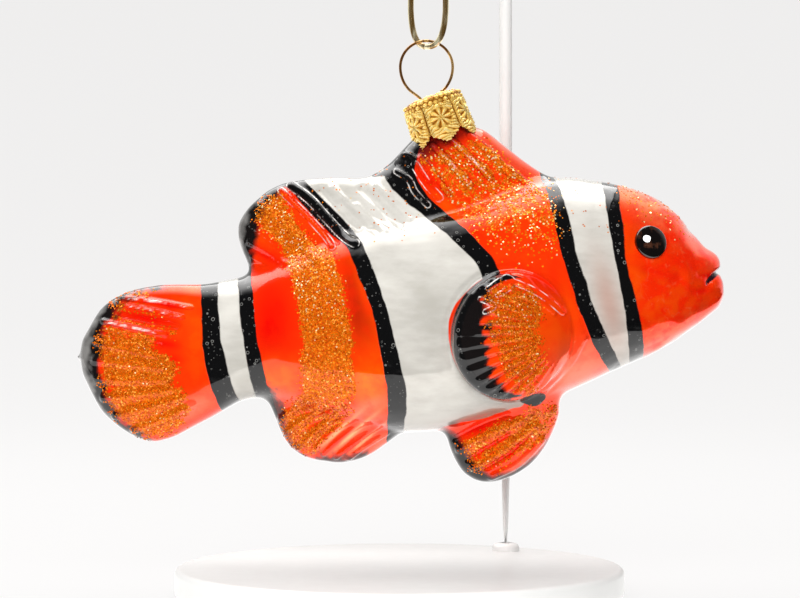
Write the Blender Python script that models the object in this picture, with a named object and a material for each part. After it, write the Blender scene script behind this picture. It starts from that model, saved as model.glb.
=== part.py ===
"""A blown-glass clownfish ornament hung by its wire ring from a plain display stand.

The constants are in millimetres and the model is in metres. +X runs from the tail to the mouth, +Z is
up, and Y = 0 is the fish's own plane of symmetry. Z = 0 is the underside of the base.
The glass is one blown shell on the real thing. Here it is modelled whole and parted with thin cuts
where a person names its parts: head, trunk, tail stalk, tail and the fins.
"""

import math

import bmesh
import bpy
from mathutils import Matrix, Vector

MM = 0.001
GAP = 0.3  # the cut between two neighbouring solids

# Where the middle of the fish hangs: ahead of the middle of the base, and above its underside.
FISH_AHEAD = 0.325
FISH_HEIGHT = 52.3

# Glass body, one row per section: x along the fish, back, belly, half thickness.
BODY_SECTIONS = (
    (56.2, 7.2, -1.2, 3.4),
    (52.2, 12.3, -4.7, 6.8),
    (46.2, 17.9, -8.7, 10.0),
    (36.3, 21.3, -13.1, 13.0),
    (25.6, 22.0, -18.1, 14.9),
    (11.3, 18.4, -22.4, 15.6),
    (-2.9, 15.4, -23.4, 14.6),
    (-16.3, 11.2, -20.2, 11.6),
    (-26.2, 5.2, -17.1, 8.2),
    (-35.1, 3.1, -21.4, 6.4),
    (-44.0, 2.9, -25.2, 5.2),
    (-52.8, -0.4, -20.5, 3.8),
    (-57.0, -7.0, -13.0, 2.2),
)
BODY_RINGS = 37
BODY_SIDES = 28
BODY_FULLNESS = 2.15  # superellipse exponent, 2 is a true ellipse

# Dorsal ridge over the back: x, crest, underside (inside the body but for the rear lobe), half
# thickness at the crest and at the underside.
DORSAL_SECTIONS = (
    (-29.0, 13.8, 11.2, 1.3, 1.3),
    (-28.2, 15.6, 8.6, 1.9, 1.9),
    (-26.4, 17.6, 4.0, 2.3, 3.2),
    (-22.6, 20.6, 0.0, 2.6, 6.0),
    (-16.0, 22.0, 0.0, 2.9, 8.2),
    (-8.0, 22.2, 0.0, 3.2, 10.2),
    (-3.9, 22.1, 0.0, 3.4, 10.8),
    (-1.2, 25.9, 0.0, 3.6, 10.8),
    (2.4, 29.6, 0.0, 4.0, 10.6),
    (8.5, 31.7, 0.0, 4.3, 10.2),
    (14.2, 31.0, 0.0, 4.2, 9.6),
    (20.2, 26.4, 0.0, 4.0, 9.2),
    (25.2, 23.0, 0.0, 4.2, 9.0),
    (29.2, 21.6, 8.0, 3.6, 7.0),
)
# Anal fin: x, root (inside the body), free edge, half thickness at the root and at the edge.
ANAL_SECTIONS = (
    (-23.8, -16.6, -18.0, 1.6, 1.4),
    (-22.6, -12.0, -20.6, 3.4, 1.8),
    (-20.6, -10.0, -25.0, 5.0, 2.2),
    (-17.4, -10.0, -27.8, 6.2, 2.4),
    (-11.0, -10.0, -28.9, 7.6, 2.6),
    (-6.2, -10.0, -27.8, 8.4, 2.7),
    (-2.0, -10.0, -25.0, 8.4, 2.7),
    (0.6, -14.0, -23.2, 7.0, 3.0),
)
# The two pelvic fins lie together as one lobe: x, root, free edge, half thicknesses as above.
PELVIC_SECTIONS = (
    (7.6, -16.0, -22.9, 2.4, 1.8),
    (8.6, -12.0, -26.2, 5.0, 2.1),
    (10.6, -10.0, -30.2, 6.2, 2.3),
    (14.0, -10.0, -32.3, 7.2, 2.4),
    (18.6, -10.0, -31.8, 7.8, 2.5),
    (22.8, -10.0, -29.4, 8.0, 2.6),
    (26.2, -10.0, -25.2, 7.6, 2.7),
    (28.2, -10.0, -20.4, 6.8, 2.8),
)
FIN_RINGS = 22
FIN_SIDES = 16
FIN_FULLNESS = 3.0  # a rounder rim than an ellipse has

# Planes that part the glass: a point (x, z) on each, and its lean from the vertical.
HEAD_CUT = (36.6, 4.0, 11.5)
STALK_CUT = (-25.0, -6.0, 6.5)
TAIL_CUT = (-34.5, -8.5, 7.0)
DORSAL_CUT = (-3.9, 22.1, 49.0)

UPPER_LIP = ((54.3, 0.0, 6.7), (2.5, 4.0, 2.4))
LOWER_LIP = ((54.9, 0.0, 1.7), (2.75, 4.4, 3.6))
TAIL_PIP = ((-57.2, -9.9), 0.55, 1.1)  # where the blowing tube was sealed: (x, z), radius, length

PECTORAL_PLACE = (18.9, -6.1)  # middle of each fin, x and z
PECTORAL_RADII = (10.7, 11.6)
PECTORAL_RISE = 3.1  # how far its middle stands off the flank
PECTORAL_TURN = 8.0  # degrees, its free edge stands off the flank more than its root

EYE_PLACE = (43.4, 10.3)
EYE_RADIUS = 2.85
EYE_RISE = 1.35

# The neck of the glass, its stamped metal cap and the wire ring.
CAP_TOP = (5.3, 36.2)  # middle of the cap's flat top, x and z
CAP_LEAN = 19.5  # degrees, the top leans towards the tail
CAP_RADIUS = 5.1
CAP_FLARE = 0.5
CAP_WALL = 0.45
CAP_SKIRT = 6.1  # height to the notches between the petals
CAP_PETAL = 2.4  # how much lower each petal's tip reaches
CAP_PETALS = 6
CAP_TURN = -11.0  # degrees about its own axis
CAP_SIDES = 36
NECK_RADIUS = 4.1
NECK_BELOW_CAP = 2.4
RING_CENTRE = (4.5, 41.8)
RING_RADIUS = 4.7
RING_DROP = 5.4  # the ring's lower half is a little longer than a circle's
RING_WIRE = 0.25
RING_ARC = (-51.0, 231.0)  # degrees, the round part of the ring
RING_LEGS = (-1.7, 2.0)  # where the legs pass the cap's top, from its middle
LEG_HOLE = 0.7
LEG_END = 1.6  # how far the legs reach below the cap's top

# The display stand.
BASE_RADIUS = 40.0
BASE_HEIGHT = 5.0
BASE_ROUNDING = 1.0
BASE_SIDES = 56
ROD_SOCKET = 3.5  # how deep the rod stands in the base
HOOK_WIRE = 0.55
LINK_WIDTH = 8.0  # between the two sides' centre lines
LINK_LENGTH = 17.5
LINK_NARROWING = 0.22  # the share of its width that the link loses towards the top
LINK_FULLNESS = 2.6  # superellipse exponent
LINK_SHIFT = 0.3  # from the ring's middle towards the mouth
LINK_TURN = -30.0  # degrees about the vertical
ROD_RADIUS = 1.2
ROD_REACH = 30.0  # from the rod to the link, on the floor plan
ARCH_HEIGHT = 9.5
DIP_RADIUS = 3.0
DIP_SIDE = 2.0  # straight stretch above the dip
DIP_ARC = 200.0  # degrees

RED = (0.85, 0.07, 0.01)
WHITE = (0.85, 0.84, 0.80)
BLACK = (0.01, 0.01, 0.012)
GOLD = (0.83, 0.58, 0.18)


def clear_scene():
    for obj in list(bpy.data.objects):
        bpy.data.objects.remove(obj)


def finish(name, colour, roughness, metallic=0.0):
    material = bpy.data.materials.new(name)
    material.use_nodes = True
    shader = material.node_tree.nodes["Principled BSDF"]
    shader.inputs["Base Color"].default_value = (*colour, 1.0)
    shader.inputs["Roughness"].default_value = roughness
    shader.inputs["Metallic"].default_value = metallic
    return material


def fish_point(x, y, z):
    """A point of the fish, given in millimetres from its own middle."""
    return Vector((x + FISH_AHEAD, y, z + FISH_HEIGHT)) * MM


def new_object(name, bm, material=None):
    """Turns a bmesh into an object; without a material it is a hidden helper."""
    bmesh.ops.recalc_face_normals(bm, faces=bm.faces)
    mesh = bpy.data.meshes.new(name)
    bm.to_mesh(mesh)
    bm.free()
    obj = bpy.data.objects.new(name, mesh)
    bpy.context.scene.collection.objects.link(obj)
    if material is None:
        obj.hide_render = True
        obj.display_type = "WIRE"
    else:
        mesh.materials.append(material)
        mesh.shade_smooth()
        mesh.set_sharp_from_angle(angle=math.radians(35))
    return obj


def between(rows, x):
    """The row at x, read from a smooth curve through all the rows."""
    rows = sorted(rows)
    x = min(max(x, rows[0][0]), rows[-1][0])
    i = max(k for k in range(len(rows) - 1) if rows[k][0] <= x)
    before, start, end = rows[max(i - 1, 0)], rows[i], rows[i + 1]
    after = rows[min(i + 2, len(rows) - 1)]
    span = end[0] - start[0]
    t = (x - start[0]) / span
    blends = (2 * t**3 - 3 * t**2 + 1, t**3 - 2 * t**2 + t, 3 * t**2 - 2 * t**3, t**3 - t**2)
    values = [x]
    for k in range(1, len(start)):
        slope_in = (end[k] - before[k]) / (end[0] - before[0]) * span
        slope_out = (after[k] - start[k]) / (after[0] - start[0]) * span
        values.append(
            blends[0] * start[k] + blends[1] * slope_in + blends[2] * end[k] + blends[3] * slope_out
        )
    return values


def round_power(value, fullness):
    return math.copysign(abs(value) ** (2 / fullness), value)


def flank_y(x, z):
    """Half the body's thickness at x and z."""
    _, back, belly, thick = between(BODY_SECTIONS, x)
    up = abs(z - (back + belly) / 2) / ((back - belly) / 2)
    return thick * (1 - up**BODY_FULLNESS) ** (1 / BODY_FULLNESS)


def on_flank(x, z, sign):
    """The place on one flank at x and z, and the way out of the body there."""
    step = 0.5
    along = (flank_y(x + step, z) - flank_y(x - step, z)) / (2 * step)
    up = (flank_y(x, z + step) - flank_y(x, z - step)) / (2 * step)
    return (x, sign * flank_y(x, z), z), Vector((-along, sign, -up)).normalized()


def facing(outward):
    """Turns a shape so that its Z is the way out, its X along the fish and its Y up."""
    across = Vector((0, 0, 1)).cross(outward).normalized()
    up = outward.cross(across)
    return Matrix((across, up, outward)).transposed()


def loft(sections, sides, fullness):
    """A closed skin over rings; a section is (x, high, low, half thickness high, half thickness low)."""
    bm = bmesh.new()
    rings = []
    for x, high, low, thick_high, thick_low in sections:
        made = bmesh.ops.create_circle(bm, segments=sides, radius=1.0, cap_ends=False)["verts"]
        for vert in made:
            across, up = (round_power(c, fullness) for c in vert.co.xy)
            thick = (thick_high + thick_low) / 2 + (thick_high - thick_low) / 2 * up
            vert.co = fish_point(x, across * thick, (high + low) / 2 + (high - low) / 2 * up)
        rings.append(list({edge for vert in made for edge in vert.link_edges}))
    for ring, following in zip(rings, rings[1:]):
        bmesh.ops.bridge_loops(bm, edges=ring + following)
    for end in (rings[0], rings[-1]):
        cap = bmesh.ops.edgeloop_fill(bm, edges=end)["faces"]
        bmesh.ops.poke(bm, faces=cap)
    return bm


def spread(low, high, count):
    """Places from low to high, closer together at both ends."""
    return [(low + high) / 2 - (high - low) / 2 * math.cos(math.pi * k / (count - 1)) for k in range(count)]


def body_mesh(grow=0.0):
    """The glass body without its fins, or the same grown all round, to cut its neighbours with."""
    xs = [row[0] for row in BODY_SECTIONS]
    sections = []
    for x in spread(min(xs), max(xs), BODY_RINGS):
        _, back, belly, thick = between(BODY_SECTIONS, x)
        sections.append((x, back + grow, belly - grow, thick + grow, thick + grow))
    sections[0] = (sections[0][0] - grow, *sections[0][1:])
    sections[-1] = (sections[-1][0] + grow, *sections[-1][1:])
    return loft(sections, BODY_SIDES, BODY_FULLNESS)


def fin_mesh(rows, grow=0.0):
    sections = []
    for x in spread(rows[0][0], rows[-1][0], FIN_RINGS):
        _, one, other, thick_one, thick_other = between(rows, x)
        sections.append((x, one + grow, other - grow, thick_one + grow, thick_other + grow))
    return loft(sections, FIN_SIDES, FIN_FULLNESS)


def keep_side(bm, cut, sign):
    """Cuts a closed mesh at a plane that leans about Y, keeps one side and closes it."""
    x, z, lean = cut
    normal = Vector((math.cos(math.radians(lean)), 0, math.sin(math.radians(lean))))
    place = fish_point(x, 0, z) + normal * sign * GAP / 2 * MM
    geometry = bm.verts[:] + bm.edges[:] + bm.faces[:]
    cutting = bmesh.ops.bisect_plane(
        bm,
        geom=geometry,
        plane_co=place,
        plane_no=normal,
        clear_inner=sign > 0,
        clear_outer=sign < 0,
    )
    rim = [item for item in cutting["geom_cut"] if isinstance(item, bmesh.types.BMEdge)]
    bmesh.ops.edgeloop_fill(bm, edges=rim)
    return bm


def combine(obj, other, operation):
    """Applies a Boolean at once, so that the next one works on its result."""
    modifier = obj.modifiers.new(operation.lower(), "BOOLEAN")
    modifier.operation = operation
    modifier.solver = "EXACT"
    modifier.object = other
    graph = bpy.context.evaluated_depsgraph_get()
    mesh = bpy.data.meshes.new_from_object(obj.evaluated_get(graph))
    obj.modifiers.clear()
    old = obj.data
    obj.data = mesh
    bpy.data.meshes.remove(old)


def ball(name, centre, radii, material=None, turn=Matrix.Identity(3), segments=20):
    bm = bmesh.new()
    bmesh.ops.create_uvsphere(bm, u_segments=segments, v_segments=segments // 2, radius=1.0)
    for vert in bm.verts:
        vert.co = turn @ Vector(c * r * MM for c, r in zip(vert.co, radii))
        vert.co += fish_point(*centre)
    return new_object(name, bm, material)


def cap_turn():
    return Matrix.Rotation(math.radians(-CAP_LEAN), 3, "Y")


def on_cap(x, y, z):
    """A point given from the middle of the cap's top, z along the cap's own axis."""
    return fish_point(CAP_TOP[0], 0, CAP_TOP[1]) + cap_turn() @ (Vector((x, y, z)) * MM)


def cylinder(radius, low, high, sides):
    """An upright closed cylinder about the origin, in plain millimetres."""
    bm = bmesh.new()
    bmesh.ops.create_cone(
        bm, cap_ends=True, segments=sides, radius1=radius, radius2=radius, depth=high - low
    )
    bmesh.ops.translate(bm, verts=bm.verts, vec=(0, 0, (high + low) / 2))
    return bm


def cap_cylinder(name, radius, low, high, across=0.0, sides=32):
    """A helper cylinder along the cap's axis."""
    bm = cylinder(radius, low, high, sides)
    for vert in bm.verts:
        vert.co = on_cap(vert.co.x + across, vert.co.y, vert.co.z)
    return new_object(name, bm)


def glass_body(paint, cutter_name="grown_body"):
    """Head, trunk, tail stalk and tail, parted by three leaning planes."""
    bm = keep_side(body_mesh(), HEAD_CUT, 1)
    head = new_object("glass_head", bm, paint)
    for name, (centre, radii) in (("upper_lip", UPPER_LIP), ("lower_lip", LOWER_LIP)):
        combine(head, ball(name, centre, radii), "UNION")
    new_object("glass_trunk", keep_side(keep_side(body_mesh(), HEAD_CUT, -1), STALK_CUT, 1), paint)
    new_object("glass_tail_stalk", keep_side(keep_side(body_mesh(), STALK_CUT, -1), TAIL_CUT, 1), paint)
    tail = new_object("glass_tail_fin", keep_side(body_mesh(), TAIL_CUT, -1), paint)
    combine(tail, tail_pip(), "UNION")
    return new_object(cutter_name, body_mesh(grow=GAP))


def tail_pip():
    (x, z), radius, length = TAIL_PIP
    bm = bmesh.new()
    bmesh.ops.create_cone(
        bm, cap_ends=True, segments=8, radius1=radius, radius2=radius / 3, depth=2 * length
    )
    turn = Matrix.Rotation(math.radians(-90), 3, "Y")
    for vert in bm.verts:
        vert.co = fish_point(x, 0, z) + turn @ (vert.co * MM)
    return new_object("tail_pip", bm)


def glass_fins(paint, grown_body):
    front = new_object("glass_dorsal_fin_front", keep_side(fin_mesh(DORSAL_SECTIONS), DORSAL_CUT, 1), paint)
    rear = new_object("glass_dorsal_fin_rear", keep_side(fin_mesh(DORSAL_SECTIONS), DORSAL_CUT, -1), paint)
    combine(front, cap_cylinder("neck", NECK_RADIUS, -CAP_SKIRT - 6.0, -NECK_BELOW_CAP), "UNION")
    anal = new_object("glass_anal_fin", fin_mesh(ANAL_SECTIONS), paint)
    pelvic = new_object("glass_pelvic_fins", fin_mesh(PELVIC_SECTIONS), paint)
    for fin in (front, rear, anal, pelvic):
        combine(fin, grown_body, "DIFFERENCE")


def side_pieces(paint, black, grown_body):
    """The pectoral fins and the eyes, one of each on both flanks."""
    for side, sign in (("right", -1), ("left", 1)):
        place, outward = on_flank(*PECTORAL_PLACE, sign)
        turn = Matrix.Rotation(math.radians(-sign * PECTORAL_TURN), 3, "Z") @ facing(outward)
        radii = (PECTORAL_RADII[0], PECTORAL_RADII[1], PECTORAL_RISE)
        fin = ball("glass_pectoral_fin_" + side, place, radii, paint, turn, 28)
        combine(fin, grown_body, "DIFFERENCE")
        place, outward = on_flank(*EYE_PLACE, sign)
        radii = (EYE_RADIUS, EYE_RADIUS, EYE_RISE)
        eye = ball("eye_" + side, place, radii, black, facing(outward))
        combine(eye, grown_body, "DIFFERENCE")


def cap(gold, grown_fin):
    """A stamped cup with a skirt of pointed petals, cut away where the fin's ridge runs out under it."""
    bm = bmesh.new()
    made = bmesh.ops.create_circle(bm, segments=CAP_SIDES, radius=CAP_RADIUS, cap_ends=True)["verts"]
    top = bm.faces[:]
    rim = bm.edges[:]
    rows = 4
    for row in range(1, rows + 1):
        made = bmesh.ops.extrude_edge_only(bm, edges=rim)["geom"]
        verts = [item for item in made if isinstance(item, bmesh.types.BMVert)]
        rim = [item for item in made if isinstance(item, bmesh.types.BMEdge)]
        for vert in verts:
            angle = math.atan2(vert.co.y, vert.co.x)
            lobe = abs(math.cos((angle - math.radians(CAP_TURN)) * CAP_PETALS / 2))
            petal = CAP_PETAL * lobe if row >= rows - 1 else 0.0
            depth = (CAP_SKIRT + petal * (0.5 if row == rows - 1 else 1.0)) * row / rows
            radius = CAP_RADIUS + CAP_FLARE * depth / (CAP_SKIRT + CAP_PETAL)
            vert.co = Vector((radius * math.cos(angle), radius * math.sin(angle), -depth))
    bmesh.ops.poke(bm, faces=top)
    for vert in bm.verts:
        vert.co = on_cap(*vert.co)
    obj = new_object("cap", bm, gold)
    shell = obj.modifiers.new("wall", "SOLIDIFY")
    shell.thickness = CAP_WALL * MM
    shell.offset = -1.0
    combine(obj, grown_fin, "DIFFERENCE")
    for across in RING_LEGS:
        combine(obj, cap_cylinder("leg_hole", LEG_HOLE, -2.0, 2.0, across, 12), "DIFFERENCE")


def wire(name, points, radius, material, closed=False, sides=2):
    """A round wire on a line of points close together."""
    curve = bpy.data.curves.new(name, "CURVE")
    curve.dimensions = "3D"
    spline = curve.splines.new("POLY")
    spline.points.add(len(points) - 1)
    for slot, point in zip(spline.points, points):
        slot.co = (*point, 1.0)
    spline.use_cyclic_u = closed
    curve.bevel_depth = radius * MM
    curve.bevel_resolution = sides
    curve.use_fill_caps = not closed
    curve.materials.append(material)
    obj = bpy.data.objects.new(name, curve)
    bpy.context.scene.collection.objects.link(obj)
    return obj


def through(points, count):
    """Points of a smooth curve through a few, as a list of vectors."""
    line = []
    for i in range(len(points) - 1):
        before, start, end = points[max(i - 1, 0)], points[i], points[i + 1]
        after = points[min(i + 2, len(points) - 1)]
        for k in range(count):
            t = k / count
            line.append(
                start * (2 * t**3 - 3 * t**2 + 1)
                + (end - before) / 2 * (t**3 - 2 * t**2 + t)
                + end * (3 * t**2 - 2 * t**3)
                + (after - start) / 2 * (t**3 - t**2)
            )
    return line + [points[-1]]


def spread_angles(start, end, count):
    return [math.radians(start + (end - start) * k / count) for k in range(count + 1)]


def hanging_ring(gold):
    """A near circle of wire, its two legs bent in through the cap's holes."""
    centre = fish_point(RING_CENTRE[0], 0, RING_CENTRE[1])
    arc = []
    for angle in spread_angles(*RING_ARC, 30):
        tall = RING_RADIUS if angle > 0 and angle < math.pi else RING_DROP
        offset = Vector((RING_RADIUS * math.cos(angle), 0, tall * math.sin(angle)))
        arc.append(centre + offset * MM)
    right = through([on_cap(RING_LEGS[1], 0, -LEG_END), on_cap(RING_LEGS[1], 0, 0.4), arc[0], arc[1]], 4)
    left = through([arc[-2], arc[-1], on_cap(RING_LEGS[0], 0, 0.4), on_cap(RING_LEGS[0], 0, -LEG_END)], 4)
    wire("hanging_ring", right[:8] + arc + left[5:], RING_WIRE, gold)


def hook_point():
    """Where the ring hangs: the bottom of the link's centre line."""
    drop = RING_RADIUS - RING_WIRE - HOOK_WIRE - GAP
    return fish_point(RING_CENTRE[0] + LINK_SHIFT, 0, RING_CENTRE[1] + drop)


def stand_link(brass):
    """A long link of thicker wire that carries the ring."""
    bottom = hook_point()
    turn = Matrix.Rotation(math.radians(LINK_TURN), 3, "Z")
    line = []
    for angle in spread_angles(0, 350, 35):
        up = (1 - math.cos(angle)) / 2
        side = round_power(math.sin(angle), LINK_FULLNESS) * LINK_WIDTH / 2 * (1 - LINK_NARROWING * up)
        line.append(bottom + turn @ (Vector((side, 0, LINK_LENGTH * up)) * MM))
    wire("stand_link", line, HOOK_WIRE, brass, closed=True)


def rod_dip():
    """Where the link hangs: the lowest point of the dip in the rod's centre line."""
    return hook_point() + Vector((0, 0, LINK_LENGTH - HOOK_WIRE - ROD_RADIUS - GAP)) * MM


def rod_backward():
    """The level direction from the dip back to the rod, square to the link."""
    return Matrix.Rotation(math.radians(LINK_TURN), 3, "Z") @ Vector((0, 1, 0))


def stand_rod(paint):
    """A straight rod behind the fish, arched over to a dip in which the link hangs."""
    dip, backward = rod_dip(), rod_backward()
    foot = dip + backward * ROD_REACH * MM
    foot.z = (BASE_HEIGHT - ROD_SOCKET + GAP) * MM
    line = [foot]
    half = (ROD_REACH - DIP_RADIUS) / 2
    for angle in spread_angles(0, 180, 18):
        back = DIP_RADIUS + half * (1 + math.cos(angle))
        up = DIP_RADIUS + DIP_SIDE + ARCH_HEIGHT * math.sin(angle)
        line.append(dip + (backward * back + Vector((0, 0, up))) * MM)
    for angle in spread_angles(0, DIP_ARC, 10):
        back = DIP_RADIUS * math.cos(angle)
        up = DIP_RADIUS * (1 - math.sin(angle))
        line.append(dip + (backward * back + Vector((0, 0, up))) * MM)
    wire("stand_rod", line, ROD_RADIUS, paint, sides=3)


def stand_base(paint):
    """A round plate with rounded rims and a blind hole that the rod stands in."""
    bm = cylinder(BASE_RADIUS * MM, 0.0, BASE_HEIGHT * MM, BASE_SIDES)
    rims = [edge for edge in bm.edges if abs(edge.verts[0].co.z - edge.verts[1].co.z) < MM / 100]
    bmesh.ops.bevel(
        bm, geom=rims, offset=BASE_ROUNDING * MM, segments=2, affect="EDGES", profile=0.5, material=-1
    )
    base = new_object("stand_base", bm, paint)
    foot = rod_dip() + rod_backward() * ROD_REACH * MM
    bm = cylinder((ROD_RADIUS + GAP) * MM, (BASE_HEIGHT - ROD_SOCKET) * MM, 2 * BASE_HEIGHT * MM, 16)
    bmesh.ops.translate(bm, verts=bm.verts, vec=(foot.x, foot.y, 0))
    combine(base, new_object("rod_hole", bm), "DIFFERENCE")


def build():
    clear_scene()
    paint = finish("painted_glass", RED, 0.08)
    black = finish("black_enamel", BLACK, 0.06)
    gold = finish("gold_foil", GOLD, 0.3, 1.0)
    brass = finish("brass_wire", GOLD, 0.22, 1.0)
    lacquer = finish("white_lacquer", WHITE, 0.4)
    grown_body = glass_body(paint)
    glass_fins(paint, grown_body)
    side_pieces(paint, black, grown_body)
    cap(gold, new_object("grown_fin", fin_mesh(DORSAL_SECTIONS, grow=GAP)))
    hanging_ring(gold)
    stand_link(brass)
    stand_rod(lacquer)
    stand_base(lacquer)


build()
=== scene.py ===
# %% [markdown]
# # A blown-glass clownfish on its display stand
# The real thing is a hollow Christmas ornament. A glass tube is blown into a two-part mould, silvered
# inside, painted by hand with clear and opaque lacquers, and dusted with glitter while the last coat is
# wet. A stamped metal cap holds the wire ring it hangs by. The solids are packed already, so this lesson
# only dresses them: it never moves or resizes one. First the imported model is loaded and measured.

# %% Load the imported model
import math

import bmesh
import bpy
import numpy as np
from mathutils import Matrix, Vector


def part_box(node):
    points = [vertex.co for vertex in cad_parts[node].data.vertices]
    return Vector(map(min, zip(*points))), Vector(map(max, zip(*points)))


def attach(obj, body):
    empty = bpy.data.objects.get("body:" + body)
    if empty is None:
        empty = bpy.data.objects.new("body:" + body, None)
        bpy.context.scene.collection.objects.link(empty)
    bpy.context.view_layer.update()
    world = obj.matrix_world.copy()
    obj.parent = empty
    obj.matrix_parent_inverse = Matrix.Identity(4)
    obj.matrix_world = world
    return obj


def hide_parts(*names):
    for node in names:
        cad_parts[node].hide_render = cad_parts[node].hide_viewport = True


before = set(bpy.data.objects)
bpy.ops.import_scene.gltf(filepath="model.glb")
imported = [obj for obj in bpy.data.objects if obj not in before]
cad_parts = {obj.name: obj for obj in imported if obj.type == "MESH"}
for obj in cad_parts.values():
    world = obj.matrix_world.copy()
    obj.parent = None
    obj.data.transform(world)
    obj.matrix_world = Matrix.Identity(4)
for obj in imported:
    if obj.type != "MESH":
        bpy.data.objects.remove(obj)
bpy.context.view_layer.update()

MM = 0.001

# %% [markdown]
# ## Where the fish is
# Everything painted on the fish is placed in the fish's own millimetres: x runs from the tail to the
# mouth and z up, from a point in the middle of its body. That point is read from the eye, whose place on
# the fish is known, so the paint follows the solids wherever they stand.

# %% The fish's own middle
EYE_AT = (43.4, 10.3)


def middle(node):
    low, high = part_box(node)
    return (low + high) / 2


FISH = Vector((middle("eye_right").x, 0, middle("eye_right").z)) - Vector((EYE_AT[0], 0, EYE_AT[1])) * MM
print("the fish's middle, in millimetres:", [round(c / MM, 2) for c in FISH])

# %% [markdown]
# ## Camera
# A small shiny thing is best seen through a long lens from close by: the far side shrinks little, so the
# painted bands keep their true slant. The camera is level with the fish and square to its flank.

# %% Camera
CAMERA_AWAY = 0.42
CAMERA_AIM = (-0.27, 0.38)  # the middle of the view, on the fish
VIEW_WIDTH = 0.14286  # what the view takes in at the fish
SENSOR = 36.0

lens = bpy.data.cameras.new("camera")
lens.sensor_width = SENSOR
lens.lens = SENSOR * CAMERA_AWAY / VIEW_WIDTH
lens.clip_start = 0.01
camera = bpy.data.objects.new("camera", lens)
camera.location = FISH + Vector((CAMERA_AIM[0] * MM, -CAMERA_AWAY, CAMERA_AIM[1] * MM))
camera.rotation_euler = (math.pi / 2, 0, 0)
bpy.context.scene.collection.objects.link(camera)
bpy.context.scene.camera = camera
print("lens", round(lens.lens, 1), "mm")

# %% [markdown]
# ## Helpers for shader nodes
# A node tree reads best when each node is one line that names its inputs. The first helper makes a node,
# sets its inputs, and links an input when it is given another node's output. The others are the few nodes
# that come back everywhere: mixes, ramps, sums, waves of noise and values kept on the mesh.

# %% Node helpers


def node(tree, kind, inputs=None, **settings):
    """Adds a node; an input may be a value or another node's output."""
    made = tree.nodes.new(kind)
    for name, value in settings.items():
        setattr(made, name, value)
    for name, value in (inputs or {}).items():
        if isinstance(value, bpy.types.NodeSocket):
            tree.links.new(value, made.inputs[name])
        else:
            made.inputs[name].default_value = value
    return made


def mixed(tree, factor, first, second):
    """One colour turning into another as the factor goes from 0 to 1."""
    made = node(tree, "ShaderNodeMix", {0: factor, 6: first, 7: second}, data_type="RGBA")
    return made.outputs[2]


def ramp(tree, value, start, end, bottom=0.0, top=1.0, soft=True):
    """Goes from bottom to top as a value goes from start to end; a soft ramp is eased at both ends."""
    inputs = {"Value": value, "From Min": start, "From Max": end, "To Min": bottom, "To Max": top}
    kind = "SMOOTHSTEP" if soft else "LINEAR"
    return node(tree, "ShaderNodeMapRange", inputs, interpolation_type=kind).outputs["Result"]


def between(tree, factor, low, high):
    """One number turning into another as the factor goes from 0 to 1."""
    return ramp(tree, factor, 0.0, 1.0, low, high, soft=False)


def maths(tree, operation, first, second=0.0):
    return node(tree, "ShaderNodeMath", {0: first, 1: second}, operation=operation).outputs[0]


def on_piece(tree):
    """The place on the piece, in metres, which every pattern here is laid out in."""
    return node(tree, "ShaderNodeTexCoord").outputs["Object"]


def waves(tree, scale, detail, place=None, distortion=0.0):
    """Smooth random waves between 0 and 1; the scale is how many of them fit in a metre."""
    where = on_piece(tree) if place is None else place
    inputs = {"Vector": where, "Scale": scale, "Detail": detail, "Distortion": distortion}
    return node(tree, "ShaderNodeTexNoise", inputs).outputs["Fac"]


def attribute(tree, name, output="Fac"):
    return node(tree, "ShaderNodeAttribute", attribute_name=name).outputs[output]


def new_material(name, **sockets):
    """A material whose constant values sit on the shader's own sockets."""
    material = bpy.data.materials.new(name)
    material.use_nodes = True
    shader = material.node_tree.nodes["Principled BSDF"]
    for socket, value in sockets.items():
        shader.inputs[socket.replace("_", " ")].default_value = value
    return material, material.node_tree, shader


# %% [markdown]
# ## Studio
# Shiny glass shows its surroundings, so the studio is part of the look. The pale sweep under and around
# the fish is for the camera only: the glass mirrors two glowing cards and a dim room instead. The big card
# overhead whitens the back, and its front edge fades so that it leaves no hard line on the flank. The card
# on the table ends a few centimetres in front of the fish, so a paler zone with a crisp upper edge runs
# along the belly, and right of the fish it slants back. What stands in front is dark, and it keeps the
# flank a deep colour. The fill lights there are left out of reflections, as a polarising filter would
# do it, and so is the white base of the stand. Area lights alone would do for a matt thing. On glass the
# edge of a light is seen, and only a card with its own material can have one that fades or slants.

# %% The sweep
SWEEP_FLAT = 0.45  # radius of the level part
SWEEP_RISE = 1.2  # radius of the curve up
SWEEP_TURN = 80  # degrees that the curve turns through
SWEEP_STEPS = 16
SWEEP_SIDES = 96
SWEEP_GLOW = 0.83


def stage_object(name, data, *materials):
    obj = bpy.data.objects.new(name, data)
    bpy.context.scene.collection.objects.link(obj)
    for material in materials:
        data.materials.append(material)
    return obj


bm = bmesh.new()
bmesh.ops.create_circle(bm, segments=SWEEP_SIDES, radius=SWEEP_FLAT, cap_ends=True)
rim = bm.edges[:]
for step in range(1, SWEEP_STEPS + 1):
    made = bmesh.ops.extrude_edge_only(bm, edges=rim)["geom"]
    rim = [item for item in made if isinstance(item, bmesh.types.BMEdge)]
    turn = math.radians(SWEEP_TURN) * step / SWEEP_STEPS
    for vert in (item for item in made if isinstance(item, bmesh.types.BMVert)):
        out = vert.co.to_2d().normalized() * (SWEEP_FLAT + SWEEP_RISE * math.sin(turn))
        vert.co = (out.x, out.y, SWEEP_RISE * (1 - math.cos(turn)))
bmesh.ops.reverse_faces(bm, faces=[face for face in bm.faces if face.normal.z < 0])
for face in bm.faces:
    face.smooth = True
mesh = bpy.data.meshes.new("sweep")
bm.to_mesh(mesh)
bm.free()

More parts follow.
